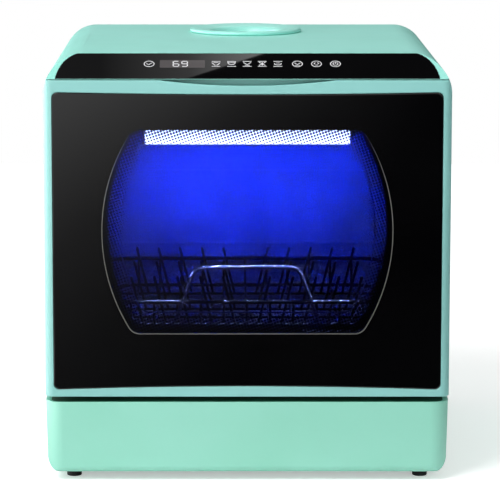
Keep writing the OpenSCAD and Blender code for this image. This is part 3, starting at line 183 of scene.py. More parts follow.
def brushed_steel():
    """Stainless sheet: fine scratches all one way, stretched noise in colour, roughness and bump."""
    m, t, out = blank("brushed_stainless_steel")
    place = add(t, "TexCoord").outputs["Object"]
    lines = add(t, "Mapping", {"Scale": (per_mm(40.0), per_mm(0.5), per_mm(0.5))}, {"Vector": place})
    brush = add(t, "TexNoise", {"Scale": 1.0, "Detail": 4.0}, {"Vector": lines.outputs["Vector"]})
    tint = add(t, "ValToRGB", {"ramp": [(0.3, linear("#aab0b6")), (0.7, linear("#c6cbd0"))]},
               {"Fac": brush.outputs["Fac"]})
    polish = add(t, "MapRange", {"To Min": 0.24, "To Max": 0.42}, {"Value": brush.outputs["Fac"]})
    bump = add(t, "Bump", {"Strength": 0.4, "Distance": 0.01 * MM}, {"Height": brush.outputs["Fac"]})
    skin = add(t, "BsdfPrincipled", {"Metallic": 1.0}, {"Base Color": tint.outputs["Color"],
               "Roughness": polish.outputs["Result"], "Normal": bump.outputs["Normal"]})
    t.links.new(skin.outputs["BSDF"], out.inputs["Surface"])
    return m


def black_backed_glass(name, tone, smooth):
    """Float glass over black ink: near-black, mirror-smooth, with the faintest unevenness."""
    m, t, out = blank(name)
    place = add(t, "TexCoord").outputs["Object"]
    cloud = add(t, "TexNoise", {"Scale": per_mm(150.0), "Detail": 1.0}, {"Vector": place})
    tint = add(t, "ValToRGB", {"ramp": [(0.3, linear(tone)), (0.7, linear("#040405"))]},
               {"Fac": cloud.outputs["Fac"]})
    polish = add(t, "MapRange", {"To Min": smooth, "To Max": 2 * smooth}, {"Value": cloud.outputs["Fac"]})
    skin = add(t, "BsdfPrincipled", {"IOR": 1.5}, {"Base Color": tint.outputs["Color"],
               "Roughness": polish.outputs["Result"]})
    t.links.new(skin.outputs["BSDF"], out.inputs["Surface"])
    return m


def clear_pane(name, tint, other, gloss):
    """Thin clear glass: what is behind shows in a slight tint, under a mirror sheen that grows
    towards the edge of sight; a soft film wanders over it."""
    m, t, out = blank(name)
    place = add(t, "TexCoord").outputs["Object"]
    film = add(t, "TexNoise", {"Scale": per_mm(60.0), "Detail": 2.0}, {"Vector": place})
    through = add(t, "ValToRGB", {"ramp": [(0.3, linear(tint)), (0.7, linear(other))]},
                  {"Fac": film.outputs["Fac"]})
    clear = add(t, "BsdfTransparent", None, {"Color": through.outputs["Color"]})
    shine = add(t, "BsdfGlossy", {"Color": (gloss, gloss, gloss, 1.0), "Roughness": 0.04})
    edge = add(t, "Fresnel", {"IOR": 1.45})
    both = add(t, "MixShader", None, {0: edge.outputs["Fac"], 1: clear.outputs["BSDF"],
               2: shine.outputs["BSDF"]})
    t.links.new(both.outputs["Shader"], out.inputs["Surface"])
    return m


def lit(name, colour, dim, strength, cell_mm):
    """Lit surface: the plastic's own colour, with light from inside that is a little uneven."""
    m, t, out = blank(name)
    place = add(t, "TexCoord").outputs["Object"]
    glow = add(t, "TexNoise", {"Scale": per_mm(cell_mm), "Detail": 1.0}, {"Vector": place})
    tint = add(t, "ValToRGB", {"ramp": [(0.3, linear(dim)), (0.6, linear(colour))]},
               {"Fac": glow.outputs["Fac"]})
    skin = add(t, "BsdfPrincipled", {"Roughness": 0.4, "Emission Strength": strength},
               {"Base Color": tint.outputs["Color"], "Emission Color": tint.outputs["Color"]})
    t.links.new(skin.outputs["BSDF"], out.inputs["Surface"])
    return m


stainless = brushed_steel()
# Touch glass of the control edge, black ink behind it: it mirrors what hangs over it
touch_glass = black_backed_glass("black_touch_glass", "#010102", 0.01)
# Tempered door glass with its fired black border
border_glass = black_backed_glass("black_border_glass", "#010102", 0.03)
# Middle of the door glass, smoked so that the unlit chamber stays dark
door_pane = clear_pane("smoked_door_glass", "#8a91b0", "#9299b8", 0.9)
# Inner pane of the door
inner_pane = clear_pane("clear_inner_glass", "#eaeefa", "#f2f5ff", 0.9)
# Ground step of the inner pane: frosted, so that it gathers light in a thin pale line
pane_rim = moulded("ground_glass_step", "#8b93ad", "#9aa1b8", 0.5, 0.8, 0.01)
# Smoked window of the display, a shade lighter than the touch glass round it
display_smoke = moulded("smoked_display_window", "#4a4647", "#524e4f", 0.2, 1.0, 0.002)
# Diffusing acrylic over blue lamps
lamp_acrylic = lit("blue_lamp_acrylic", "#3c5cff", "#2f4fff", 6.0, 12.0)
# Opal acrylic of the light strip in the door, lit cool white
strip_acrylic = lit("white_strip_acrylic", "#ffffff", "#f2f5ff", 26.0, 30.0)
# Lit white touch signs and digits
sign_light = lit("white_sign_light", "#c4c4c6", "#aeaeb2", 0.5, 3.0)

FINISH = {
    "mint_plastic": mint_abs, "black_plastic": black_abs, "panel_glass": touch_glass,
    "door_glass": border_glass, "window_pane": inner_pane, "rubber": foot_rubber,
    "seal_rubber": seal_silicone, "steel": stainless, "bracket_steel": hinge_coat,
    "circuit_board": board_epoxy, "tank_plastic": tank_pp, "white_plastic": white_pp,
    "grey_plastic": grey_pp, "arm_plastic": arm_pp, "coated_wire": coated_wire,
    "lamp_lens": lamp_acrylic, "valve_plastic": valve_nylon, "motor_paint": motor_enamel,
    "switch_plastic": switch_case,
}
for name, part in NODES.items():
    part.data.materials.clear()
    part.data.materials.append(FINISH[SLOT[name]])


# ---- Surfaces -------------------------------------------------------------------

def quads(rows, cols, round_rows=False, round_cols=False):
    """Four-sided faces between neighbours of a grid; a round direction joins its last line
    to its first."""
    r, c = np.meshgrid(np.arange(rows - (not round_rows)), np.arange(cols - (not round_cols)),
                       indexing="ij")
    r2, c2 = (r + 1) % rows, (c + 1) % cols
    return np.stack([r * cols + c, r * cols + c2, r2 * cols + c2, r2 * cols + c], -1).reshape(-1, 4)


def sheet_of(points, round_rows=False, round_cols=False, caps=False):
    """A surface from a rows x cols x 3 grid of points; caps close the first and last row with
    one face each."""
    rows, cols = points.shape[:2]
    faces = quads(rows, cols, round_rows, round_cols).tolist()
    if caps:
        faces += [list(range(cols)), list(range((rows - 1) * cols, rows * cols))]
    return points.reshape(-1, 3), faces


def rounded_box(half_x, z0, z1, r, steps=8):
    """Outline (x, z) of an upright rectangle with quarter-circle corners:
    corner centre + r (cos a, sin a)."""
    a = np.linspace(0, np.pi / 2, steps)
    turn = np.concatenate([a, a + np.pi / 2, a + np.pi, a + 1.5 * np.pi])
    cx = np.repeat([1, -1, -1, 1], steps) * (half_x - r)
    cz = np.repeat([z1 - r, z1 - r, z0 + r, z0 + r], steps)
    return np.stack([cx + r * np.cos(turn), cz + r * np.sin(turn)], 1)


def barrel(inset=0.0, steps=12):
    """Window outline (x, z), drawn inward by the inset: flat top and bottom, wide arcs at the
    sides, and small arcs that touch both at the corners."""
    hw, hh, side = WINDOW_HALF_W - inset, WINDOW_HALF_H - inset, WINDOW_SIDE_R - inset
    r = WINDOW_CORNER_R
    turn, far = math.asin((hh - r) / (side - r)), side - hw
    cx = (side - r) * math.cos(turn) - far
    a, b = np.linspace(np.pi / 2, turn, steps), np.linspace(turn, 0, 2 * steps)[1:]
    quarter = np.concatenate([np.stack([cx + r * np.cos(a), hh - r + r * np.sin(a)], 1),
                              np.stack([side * np.cos(b) - far, side * np.sin(b)], 1)])
    right = np.concatenate([quarter, quarter[-2::-1] * [1, -1]])
    return np.concatenate([right, right[::-1] * [-1, 1]]) + [0, WINDOW_MID]


def glass_edge(inset=0.0, steps=6):
    """Outline (x, z) of the door glass, drawn inward by the inset: a rounded rectangle whose lower
    edge rises by 3.5 and upper edge falls by 2.1 at the middle, each as a parabola."""
    hw, z0, z1, r = 205.5 - inset, 100.0 + inset, 417.0 - inset, 6.0
    x = np.linspace(-1, 1, 17)
    bow, a = 1 - x * x, np.linspace(0, np.pi / 2, steps)[1:-1]
    low = np.stack([x * (hw - r), z0 + 3.5 * bow], 1)
    high = np.stack([-x * (hw - r), z1 - 2.1 * bow], 1)

    def corner(cx, cz, start):
        return np.stack([cx + r * np.cos(a + start), cz + r * np.sin(a + start)], 1)
    ends = [[[hw, z0 + r]], [[hw, z1 - r]], [[-hw, z1 - r]], [[-hw, z0 + r]]]
    return np.concatenate([low, corner(hw - r, z0 + r, -np.pi / 2), ends[0], ends[1],
                           corner(hw - r, z1 - r, 0), high, corner(-hw + r, z1 - r, np.pi / 2),
                           ends[2], ends[3], corner(-hw + r, z0 + r, np.pi)])


def outline_at(loop, centre, angles):
    """Points of a closed outline seen from its centre along each angle: where that ray crosses an edge."""
    p = loop - centre
    e = np.roll(p, -1, 0) - p
    d = np.stack([np.cos(angles), np.sin(angles)], 1)
    across = d[:, None, 0] * e[None, :, 1] - d[:, None, 1] * e[None, :, 0]
    across = np.where(abs(across) < 1e-12, np.nan, across)
    far = (p[None, :, 0] * e[None, :, 1] - p[None, :, 1] * e[None, :, 0]) / across
    part = (p[None, :, 0] * d[:, None, 1] - p[None, :, 1] * d[:, None, 0]) / across
    far = np.where((part > -1e-6) & (part < 1 + 1e-6) & (far > 0), far, np.inf)
    return centre + far.min(1)[:, None] * d


def upright(loop, y):
    """An (x, z) outline stood up at depth y, as x, y, z points."""
    return np.stack([loop[:, 0], np.full(len(loop), y), loop[:, 1]], 1)


def swept(path, outline, closed=False):
    """A closed outline (side, up) carried along a flat path: point = path + side * across + up * normal,
    where the normal is that of the path's plane and across stands square to the path in it."""
    path = np.asarray(path, float)
    ahead = np.roll(path, -1, 0) - np.roll(path, 1, 0) if closed else np.gradient(path, axis=0)
    ahead /= np.linalg.norm(ahead, axis=1)[:, None]
    normal = np.linalg.svd(path - path.mean(0))[2][2]
    across = np.cross(ahead, normal)
    outline = np.asarray(outline, float)
    if outline.ndim == 2:
        outline = np.broadcast_to(outline, (len(path), *outline.shape))
    return path[:, None] + outline[..., :1] * across[:, None] + outline[..., 1:] * normal


def circle(r, sides):
    """Points of a circle of radius r."""
    a = np.linspace(0, 2 * np.pi, sides, endpoint=False)
    return r * np.stack([np.cos(a), np.sin(a)], 1)


def bent(corners, bend, steps=6):
    """A path through corners with each inner corner rounded: between the points a bend length before
    and after it, a curve q0 (1-t)^2 + 2 q1 t (1-t) + q2 t^2."""
    c = np.asarray(corners, float)
    out, t = [c[:1]], np.linspace(0, 1, steps)[:, None]
    for before, here, after in zip(c[:-2], c[1:-1], c[2:]):
        q0 = here + (before - here) * bend / np.linalg.norm(before - here)
        q2 = here + (after - here) * bend / np.linalg.norm(after - here)
        out.append(q0 * (1 - t) ** 2 + 2 * here * t * (1 - t) + q2 * t ** 2)
    return np.concatenate([*out, c[-1:]])


def wire(path, r, sides=12, closed=False):
    """Round wire along a path; an open wire ends in half-round tips, circles that shrink as a cosine."""
    path = np.asarray(path, float)
    radii = np.full(len(path), float(r))
    if not closed:
        a = np.linspace(0, 1.45, 4)
        head, tail = path[0] - path[1], path[-1] - path[-2]
        head, tail = head / np.linalg.norm(head), tail / np.linalg.norm(tail)
        front = path[0] + head * r * (np.sin(a[::-1]) - 1)[:, None]
        back = path[-1] + tail * r * (np.sin(a) - 1)[:, None]
        path = np.concatenate([front, path[1:-1], back])
        radii = np.concatenate([r * np.cos(a[::-1]), radii[1:-1], r * np.cos(a)])
    rings = circle(1, sides)[None] * radii[:, None, None]
    return sheet_of(swept(path, rings, closed), closed, True, not closed)


def turned(profile, x, y, steps=64):
    """A closed profile (radius, height) turned about an upright axis at x, y: (r cos a, r sin a, height)."""
    p = np.asarray(profile, float)
    a = np.linspace(0, 2 * np.pi, steps, endpoint=False)
    grid = np.stack([p[:, :1] * np.cos(a), p[:, :1] * np.sin(a),
                     np.broadcast_to(p[:, 1:], (len(p), steps))], -1)
    return sheet_of(grid + [x, y, 0], True, True)


def piece(name, surfaces, material, body, stands_for=(), angle=35.0, bevel=0.0):
    """One mesh object from several surfaces in millimetres: doubles merged, faces turned outward,
    edges sharper than the angle kept sharp, and a weight-limited bevel added where a width is given, which
    rounds no edge here as none is weighted."""
    mesh = bpy.data.meshes.new(name)
    points, faces, base = [], [], 0
    for v, f in surfaces:
        points.append(v)
        faces += [[i + base for i in face] for face in f]
        base += len(v)
    mesh.from_pydata((np.concatenate(points) * MM).tolist(), [], faces)
    bm = bmesh.new()
    bm.from_mesh(mesh)
    bmesh.ops.remove_doubles(bm, verts=bm.verts, dist=2e-6)
    bmesh.ops.recalc_face_normals(bm, faces=bm.faces)
    bm.to_mesh(mesh)
    bm.free()
    return finished(mesh, material, body, stands_for, angle, bevel)


def finished(mesh, material, body, stands_for, angle, bevel):
    """Object of a mesh with its shading, bevel, material and place in the assembly."""
    mesh.polygons.foreach_set("use_smooth", np.ones(len(mesh.polygons), bool))
    mesh.set_sharp_from_angle(angle=math.radians(angle))
    mesh.materials.append(material)
    obj = bpy.data.objects.new(mesh.name, mesh)
    bpy.context.scene.collection.objects.link(obj)
    if bevel:
        edge = obj.modifiers.new("rounded_edges", "BEVEL")
        edge.width, edge.segments, edge.limit_method = bevel * MM, 3, "WEIGHT"
        edge.use_clamp_overlap = False
        flat = obj.modifiers.new("flat_faces_shade_flat", "WEIGHTED_NORMAL")
        flat.mode, flat.weight, flat.keep_sharp = "FACE_AREA", 90, True
    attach(obj, body)
    if stands_for:
        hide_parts(*stands_for)
    return obj


def room_beside(edge, sharp):
    """Shortest reach, square to a sharp edge, of the edges that leave its ends; the next sharp edge of
    the same run doesn't count. A rounding wider than that would fold over."""
    way = (edge.verts[1].co - edge.verts[0].co).normalized()
    reach = 1.0
    for corner in edge.verts:
        for other in corner.link_edges:
            if other is edge or not set(other.link_faces) & set(edge.link_faces):
                continue
            side = other.other_vert(corner).co - corner.co
            across = side.cross(way).length
            if not (other in sharp and across < 0.6 * side.length):
                reach = min(reach, across)
    return reach


# A flat face larger than this, in square metres, is cut into convex ones, so that none folds over
LARGE_FACE = 1e-3


def eased(node, bevel, material=None, angle=30.0, from_y=-300.0):
    """Copy of a CAD piece with its triangles merged, flat areas joined and its sharp edges rounded,
    each as far as there is room beside it. Edges in front of from_y stay as they are."""
    mesh = bpy.data.meshes.new(node + "_eased")
    bm = bmesh.new()
    bm.from_mesh(NODES[node].data)
    bmesh.ops.remove_doubles(bm, verts=bm.verts, dist=5e-6)
    bmesh.ops.dissolve_limit(bm, angle_limit=math.radians(0.15), verts=bm.verts, edges=bm.edges)
    bmesh.ops.connect_verts_concave(bm, faces=[f for f in bm.faces if f.calc_area() > LARGE_FACE])
    if bevel:
        weight = bm.edges.layers.float.new("bevel_weight_edge")
        sharp = {e for e in bm.edges if math.radians(angle) < e.calc_face_angle(0) < math.radians(125)
                 and min(v.co.y for v in e.verts) > from_y * MM}
        for e in sharp:
            e[weight] = min(1.0, 0.45 * room_beside(e, sharp) / (bevel * MM))
    bm.to_mesh(mesh)
    bm.free()
    return finished(mesh, material or FINISH[SLOT[node]], BODY[node], (node,), angle, bevel)


# ---- Cabinet and base -----------------------------------------------------------

eased("outer_shell", 0.6, shell_abs, angle=20, from_y=-171)
eased("base_pan", 0.7, angle=20)
eased("door_frame", 0.9, door_abs, angle=20)
eased("back_panel", 0.0, angle=2)
eased("back_screws", 0.2)
eased("rubber_feet", 1.0)
eased("control_panel", 0.4)
eased("drain_spigot", 0.5)
eased("inlet_port", 0.5)
eased("cord_gland", 0.5)
eased("hinge_brackets", 0.5)
eased("door_liner", 0.5)
eased("detergent_cup", 0.5)
eased("detergent_cover", 0.4)
eased("latch_striker", 0.3)
eased("tub", 0.35, angle=20)
eased("rack_rails", 0.6)
eased("inlet_strainer", 0.3)
for side in ("front_left", "front_right", "rear_left", "rear_right"):
    eased("wheel_" + side, 0.6)


# ---- Water inlet ----------------------------------------------------------------

def soft_profile(corners, r, steps=5):
    """A closed profile with every corner rounded by a curve that starts r before it, or less on
    short edges."""
    c = np.asarray(corners, float)
    t, out = np.linspace(0, 1, steps)[:, None], []
    for before, here, after in zip(np.roll(c, 1, 0), c, np.roll(c, -1, 0)):
        a, b = before - here, after - here
        la, lb = np.linalg.norm(a), np.linalg.norm(b)
        q0, q2 = here + a * min(r, la * 0.45) / la, here + b * min(r, lb * 0.45) / lb
        out.append(q0 * (1 - t) ** 2 + 2 * here * t * (1 - t) + q2 * t ** 2)
    return np.concatenate(out)


bowl = soft_profile([(64, 455.02), (64, 458.2), (61.5, 460), (40, 457.6), (36.5, 452), (35, 443),
                     (35, 414), (0.01, 414), (0.01, 412), (37, 412), (37, 441), (47.5, 448.5), (47.5, 452),
                     (57.7, 452), (57.7, 455.02)], 3.0)
piece("inlet_bowl", [turned(bowl, 0, 100, 128)], shell_abs, "cabinet", ("inlet_funnel",))


# Painted shade: a dark sheet in the sill where the gap under the door lies in shade, low enough for the
# door's lower edge to pass over it
gap_shade_layers = rounded_box(209, -212, -176, 12)
gap_shade_layers = [np.stack([gap_shade_layers[:, 0], gap_shade_layers[:, 1], np.full(len(gap_shade_layers), z)], 1) for z in (85.6, 86.5)]
piece("sill_gap_shade", [sheet_of(np.stack(gap_shade_layers), False, True, True)], gap_shade_rubber, "cabinet", ())


# ---- Door glass and window ------------------------------------------------------

centre = np.array([0.0, 262.0])
seen = np.concatenate([barrel(), glass_edge()]) - centre
angles = np.unique(np.round(np.arctan2(seen[:, 1], seen[:, 0]), 6))


def ringed(rows):
    """Ring of an outline per row: each (outline, y) row is seen from the glass's centre along the
    same angles."""
    return np.stack([upright(outline_at(loop, centre, angles), y) for loop, y in rows])


border = ringed([(barrel(), GLASS_BACK), (barrel(), GLASS_FRONT), (glass_edge(1.3), GLASS_FRONT),
                 (glass_edge(0.9), GLASS_FRONT),
                 (glass_edge(0.45), GLASS_FRONT + 0.12), (glass_edge(0.12), GLASS_FRONT + 0.45),
                 (glass_edge(), GLASS_FRONT + 0.9), (glass_edge(), GLASS_BACK)])
piece("glass_border", [sheet_of(border, True, True)], border_glass, "door", ("door_glass",))

pane = np.stack([upright(barrel(0.1), GLASS_FRONT + 0.02), upright(barrel(0.1), GLASS_BACK)])
piece("glass_window", [sheet_of(pane, False, True, True)], door_pane, "door", ("door_glass",))


# Painted highlight: a thin grey line along the window's sides and bottom, thinner towards its upper ends
# where the highlight fades
line = barrel(0.0, 24)
away = barrel(-1.0, 24)
fade = np.clip((374.0 - line[:, 1]) / 60.0, 0.08, 1.0)[:, None]
order = np.arctan2(line[:, 0], WINDOW_MID - line[:, 1])
keep = np.argsort(order)
keep = keep[line[keep, 1] < 374.0]
inner_edge, outer_edge = line[keep], line[keep] + (away[keep] - line[keep]) * fade[keep]
strip = np.stack([upright(inner_edge, GLASS_FRONT - 0.12), upright(outer_edge, GLASS_FRONT - 0.12),
                  upright(outer_edge, GLASS_FRONT + 0.02), upright(inner_edge, GLASS_FRONT + 0.02)], 1)
piece("window_highlight_line", [sheet_of(strip, False, True, True)], painted_highlight_ink, "door", ())


def depth_inside(points, loop):
    """Distance of each point from the nearest edge of a closed outline."""
    p, e = loop, np.roll(loop, -1, 0) - loop
    w = points[:, None] - p[None]
    t = np.clip((w * e).sum(-1) / (e * e).sum(-1), 0, 1)
    return np.linalg.norm(w - t[..., None] * e, axis=-1).min(1)


def printed_dots(pitch, turn, band, y0, y1, sides=8):
    """Dots on a square lattice of this pitch, turned by an angle: radius = 0.52 pitch sqrt(1 - d / band),
    where d is a dot's distance from the window's edge, so that they touch there and fade inward."""
    i, k = np.meshgrid(np.arange(-70, 71), np.arange(-70, 71), indexing="ij")
    i, k = i.ravel() * pitch, k.ravel() * pitch
    spot = np.stack([i * math.cos(turn) - k * math.sin(turn), i * math.sin(turn) + k * math.cos(turn)], 1)
    middle = np.array([0.0, WINDOW_MID])
    reach = outline_at(barrel(-0.6) - middle, np.zeros(2), np.arctan2(spot[:, 1], spot[:, 0]))
    spot = spot[(spot ** 2).sum(1) < (reach ** 2).sum(1)] + middle
    d = depth_inside(spot, barrel())
    r = 0.52 * pitch * np.sqrt(np.clip(1 - d / band, 0, 1))
    spot, r = spot[r > 0.25], r[r > 0.25]
    a = np.linspace(0, 2 * np.pi, sides, endpoint=False)
    rim = spot[:, None] + r[:, None, None] * np.stack([np.cos(a), np.sin(a)], -1)
    points = np.stack([np.stack([rim[..., 0], np.full(rim.shape[:2], y), rim[..., 1]], -1)
                       for y in (y0, y1)], 1).reshape(-1, 3)
    base = (np.arange(len(spot)) * 2 * sides)[:, None]
    s = np.arange(sides)
    walls = np.stack([s, (s + 1) % sides, (s + 1) % sides + sides, s + sides], -1)
    faces = (base[..., None] + walls[None]).reshape(-1, 4).tolist()
    faces += (base + s).tolist() + (base + s + sides).tolist()
    return points, faces


piece("window_dots", [printed_dots(3.1, math.atan(1 / 3), 24.0, GLASS_BACK + 0.02, GLASS_BACK + 0.16)],
      ink_black, "door", ())
# Step of the inner pane, a line round the clear middle
step = [(barrel(16.4), -183.5), (barrel(16.4), -183.02), (barrel(17.6), -183.02), (barrel(17.6), -183.5)]
piece("pane_step", [sheet_of(np.stack([upright(loop, y) for loop, y in step]), True, True)], pane_rim,
      "door", ())
eased("window_bezel", 0.0)
eased("light_bar", 2.0, strip_acrylic)


# ---- Signs of the control edge --------------------------------------------------

def on_slope(x, s, n):
    """Place on the control edge: x across, s up the slope from its front edge, n out of its surface."""
    return np.stack(np.broadcast_arrays(x, FRONT + s * math.cos(SLOPE) - n * math.sin(SLOPE),
                                        HEADER_Z + s * math.sin(SLOPE) + n * math.cos(SLOPE)), -1)


def stroke(points, width=0.8, closed=False, height=0.12):
    """Flat raised line along points (x, s): half the width to each side, square to the line's direction."""
    p = np.asarray(points, float)
    ahead = np.roll(p, -1, 0) - np.roll(p, 1, 0) if closed else np.gradient(p, axis=0)
    ahead /= np.linalg.norm(ahead, axis=1)[:, None]
    side = np.stack([-ahead[:, 1], ahead[:, 0]], 1) * width / 2
    ring = [(p + side, 0.0), (p + side, height), (p - side, height), (p - side, 0.0)]
    grid = np.stack([on_slope(q[:, 0], q[:, 1], n) for q, n in ring], 1)
    return sheet_of(grid, closed, True, not closed)


def arc(x, s, r, start=0.0, end=360.0, steps=32, squash=1.0):
    """Points of an arc about x, s."""
    a = np.radians(np.linspace(start, end, steps, endpoint=end - start < 360))
    return np.stack([x + r * np.cos(a), s + r * squash * np.sin(a)], 1)


SIGN_S = 28.4
signs = []
for x, marks in ((-103.6, "tick"), (52.7, "drop"), (72.8, "fan"), (92.8, "play")):
    signs.append(stroke(arc(x, SIGN_S, 5.2), 0.85, True))
    if marks == "tick":
        signs.append(stroke([(x - 3.0, SIGN_S + 0.6), (x - 0.6, SIGN_S - 1.8), (x + 3.2, SIGN_S + 2.2)], 0.9))
    if marks == "drop":
        signs.append(stroke([(x - 3.0, SIGN_S + 1.8), (x, SIGN_S - 1.2), (x + 3.0, SIGN_S + 1.8)], 0.9))
        signs.append(stroke([(x - 2.4, SIGN_S - 2.6), (x + 2.4, SIGN_S - 2.6)], 0.8))
    if marks == "fan":
        signs += [stroke(arc(x, SIGN_S, 2.3, a, a + 70, 8), 1.1) for a in (0, 120, 240)]
    if marks == "play":
        signs.append(stroke(arc(x, SIGN_S, 2.6, 120, 420, 20), 0.85))
        signs.append(stroke([(x, SIGN_S + 0.4), (x, SIGN_S + 3.4)], 0.85))
for k, x in enumerate((-33.1, -16.7, -0.3, 15.6, 32.1)):
    for s in (-4.6, 4.6):
        signs.append(stroke([(x - 4.6, SIGN_S + s), (x + 4.6, SIGN_S + s)], 0.8))
    if k == 0:
        signs.append(stroke([(x - 4.2, SIGN_S + 2.2), (x - 1.4, SIGN_S - 2.4),
                             (x + 1.4, SIGN_S - 2.4), (x + 4.2, SIGN_S + 2.2)], 0.9))
        signs.append(stroke([(x - 2.6, SIGN_S + 2.2), (x + 2.6, SIGN_S + 2.2)], 0.8))
    if k == 1:
        signs.append(stroke(arc(x, SIGN_S + 2.4, 3.8, 180, 360, 14), 0.9))
        signs.append(stroke([(x - 4.4, SIGN_S + 2.6), (x + 4.4, SIGN_S + 2.6)], 0.8))
    if k == 2:
        signs.append(stroke([(x - 4.0, SIGN_S + 2.6), (x, SIGN_S - 1.4), (x + 4.0, SIGN_S + 2.6)], 0.9))
        signs.append(stroke([(x - 2.6, SIGN_S - 2.6), (x + 2.6, SIGN_S - 2.6)], 0.8))
    if k == 3:
        signs += [stroke([(x - 3.4, SIGN_S - d), (x, SIGN_S), (x + 3.4, SIGN_S - d)], 0.9)
                  for d in (-3.0, 3.0)]
        signs.append(stroke([(x, SIGN_S - 3.2), (x, SIGN_S + 3.2)], 0.9))
    if k == 4:
        signs.append(stroke(arc(x, SIGN_S, 3.6, 150, 390, 14, 0.55), 0.9))
        signs.append(stroke([(x - 2.0, SIGN_S + 1.6), (x + 2.0, SIGN_S + 1.6)], 0.8))


def digit(x, s, bars, width=2.9, height=4.7):
    """Seven-bar digit: bars a to g are the strokes between its six corners."""
    corner = {"a": ((-1, 1), (1, 1)), "b": ((1, 1), (1, 0)), "c": ((1, 0), (1, -1)), "d": ((1, -1), (-1, -1)),
              "e": ((-1, -1), (-1, 0)), "f": ((-1, 0), (-1, 1)), "g": ((-1, 0), (1, 0))}
    out = []
    for bar in bars:
        ends = np.array(corner[bar]) * [width, height]
        trim = 0.45 * (ends[1] - ends[0]) / np.linalg.norm(ends[1] - ends[0])
        out.append(stroke(np.array([x, s]) + [ends[0] + trim, ends[1] - trim], 1.2, height=0.14))
    return out


signs += digit(-75.3, SIGN_S, "acdefg") + digit(-66.2, SIGN_S, "abcdfg")
piece("touch_signs", signs, sign_light, "cabinet", ())
plate = [on_slope(x, s, n) for n in (0.0, 0.05)
         for x, s in ((-92.4, SIGN_S - 7), (-44.8, SIGN_S - 7), (-44.8, SIGN_S + 7), (-92.4, SIGN_S + 7))]
piece("display_window", [sheet_of(np.array(plate).reshape(2, 4, 3), False, True, True)], display_smoke,
      "cabinet", ())


# ---- Door seal ------------------------------------------------------------------

def seal_profile():
    """Bulb seal (outward offset, y): a half-round bulb that meets the door on a flat foot."""
    a = np.linspace(np.pi, 2 * np.pi, 12)
    bulb = np.stack([5.0 + 3.6 * np.cos(a), -174.3 + 2.35 * np.sin(a)], 1)
    return np.concatenate([bulb, [[9.9, -173.4], [9.9, -172.05], [0.1, -172.05], [0.1, -173.4]]])


seal = np.stack([upright(rounded_box(178 + d, 122 - d, 402 + d, 16 + d, 10), y) for d, y in seal_profile()])
piece("door_seal", [sheet_of(seal, True, True)], seal_silicone, "cabinet", ("tub_gasket",))


# ---- Rack -----------------------------------------------------------------------

def loop_path(hw, y0, y1, z, r):
    """Closed level path: a rounded rectangle in x and y."""
    p = rounded_box(hw, y0, y1, r, 10)
    return np.stack([p[:, 0], p[:, 1], np.full(len(p), z)], 1)


FRONT_RAIL_Y, REAR_RAIL_Y, FLOOR_Z, HANDLE_TOP = -163, 128, 154.5, 223
WIRE_R, TINE_LEAN = 1.5, math.radians(14)
rack = [wire(loop_path(158, FRONT_RAIL_Y, REAR_RAIL_Y, 185, 25), 2.2, 14, True),
        wire(loop_path(150, -159, 120, FLOOR_Z, 25), 2.0, 12, True)]
lean = math.radians(70)
knee = np.array([46 + 14 * math.cos(math.radians(20)), 209 + 14 * math.sin(math.radians(20))])
foot_x = knee[0] + (knee[1] - FLOOR_Z) / math.tan(lean)
top_x = knee[0] - (HANDLE_TOP - knee[1]) / math.tan(lean)
handle = wire(bent([(-foot_x, FRONT_RAIL_Y, FLOOR_Z), (-top_x, FRONT_RAIL_Y, HANDLE_TOP),
                    (top_x, FRONT_RAIL_Y, HANDLE_TOP), (foot_x, FRONT_RAIL_Y, FLOOR_Z)],
                   11.0, 10), 2.2, 14)
# The handle's paler coat is painted light, for the light that falls on it
piece("rack_handle", [handle], handle_painted_light_coat, "rack", (), 60)
for x in np.arange(-5, 6) * 25.0:
    rack.append(wire(bent([(x, FRONT_RAIL_Y, 184.5), (x, -159.6, 153.9), (x, 120.6, 153.9),
                           (x, REAR_RAIL_Y, 184.5)], 4.0), WIRE_R, 10))
for y in -19.5 + 50.0 * np.arange(-2, 3):
    rack.append(wire(bent([(-158, y, 184.5), (-151, y, 151.2), (151, y, 151.2), (158, y, 184.5)], 4.0),
                     WIRE_R, 10))
for y in (-129.0, 94.0):
    for s in (-1, 1):
        rack.append(wire([(s * 149, y, 151.5), (s * 160, y, 151.5), (s * 169, y, 151.5)], 2.0, 12))
piece("rack_basket", rack, coated_wire, "rack", ("wire_rack", "rack_floor"), angle=60)

tines = []
for y in (-119.5, -19.5, 80.5):
    for x in np.arange(-4.5, 5.0) * 25.0:
        tip = x + math.copysign(56 * math.sin(TINE_LEAN), x)
        tines.append(wire([(x, y, 151.5), ((x + tip) / 2, y, 179.0),
                           (tip, y, 151.5 + 56 * math.cos(TINE_LEAN))], WIRE_R, 10))
piece("plate_tines", tines, coated_wire, "rack", ("rack_tines",), angle=60)


# ---- Spray arms -----------------------------------------------------------------

HUB_BORE_R = 5.1
# Share of a blade's length at which its end starts to round off, and the share that this takes
END_FROM, END_OVER = 0.93, 0.0701


def arm_blade(side, start, reach, root, tip, z0, thick):
    """Blade along x: an oval cross-section |c|^0.6, |s|^0.6 whose half-width runs from root
    to tip along the arm and closes as a circle at the end."""
    u = np.concatenate([np.linspace(0, END_FROM, 14),
                        END_FROM + 0.07 * np.sin(np.linspace(0.25, np.pi / 2, 7))])
    ended = np.clip((u - END_FROM) / END_OVER, 0, 1)
    x = start + u * (reach - start)
    w = (root + (tip - root) * u) * np.sqrt(np.clip(1 - ended ** 2, 0.002, 1))
    h = thick / 2 * np.sqrt(np.clip(1 - 0.7 * ended ** 2, 0, 1))
    v = np.linspace(0, 2 * np.pi, 24, endpoint=False)
    c, s = np.sign(np.cos(v)) * abs(np.cos(v)) ** 0.6, np.sign(np.sin(v)) * abs(np.sin(v)) ** 0.6
    grid = np.stack([np.broadcast_to(side * x[:, None], (len(u), 24)), HUB_Y + w[:, None] * c,
                     z0 + thick / 2 + h[:, None] * s], -1)
    return sheet_of(grid, False, True, True)


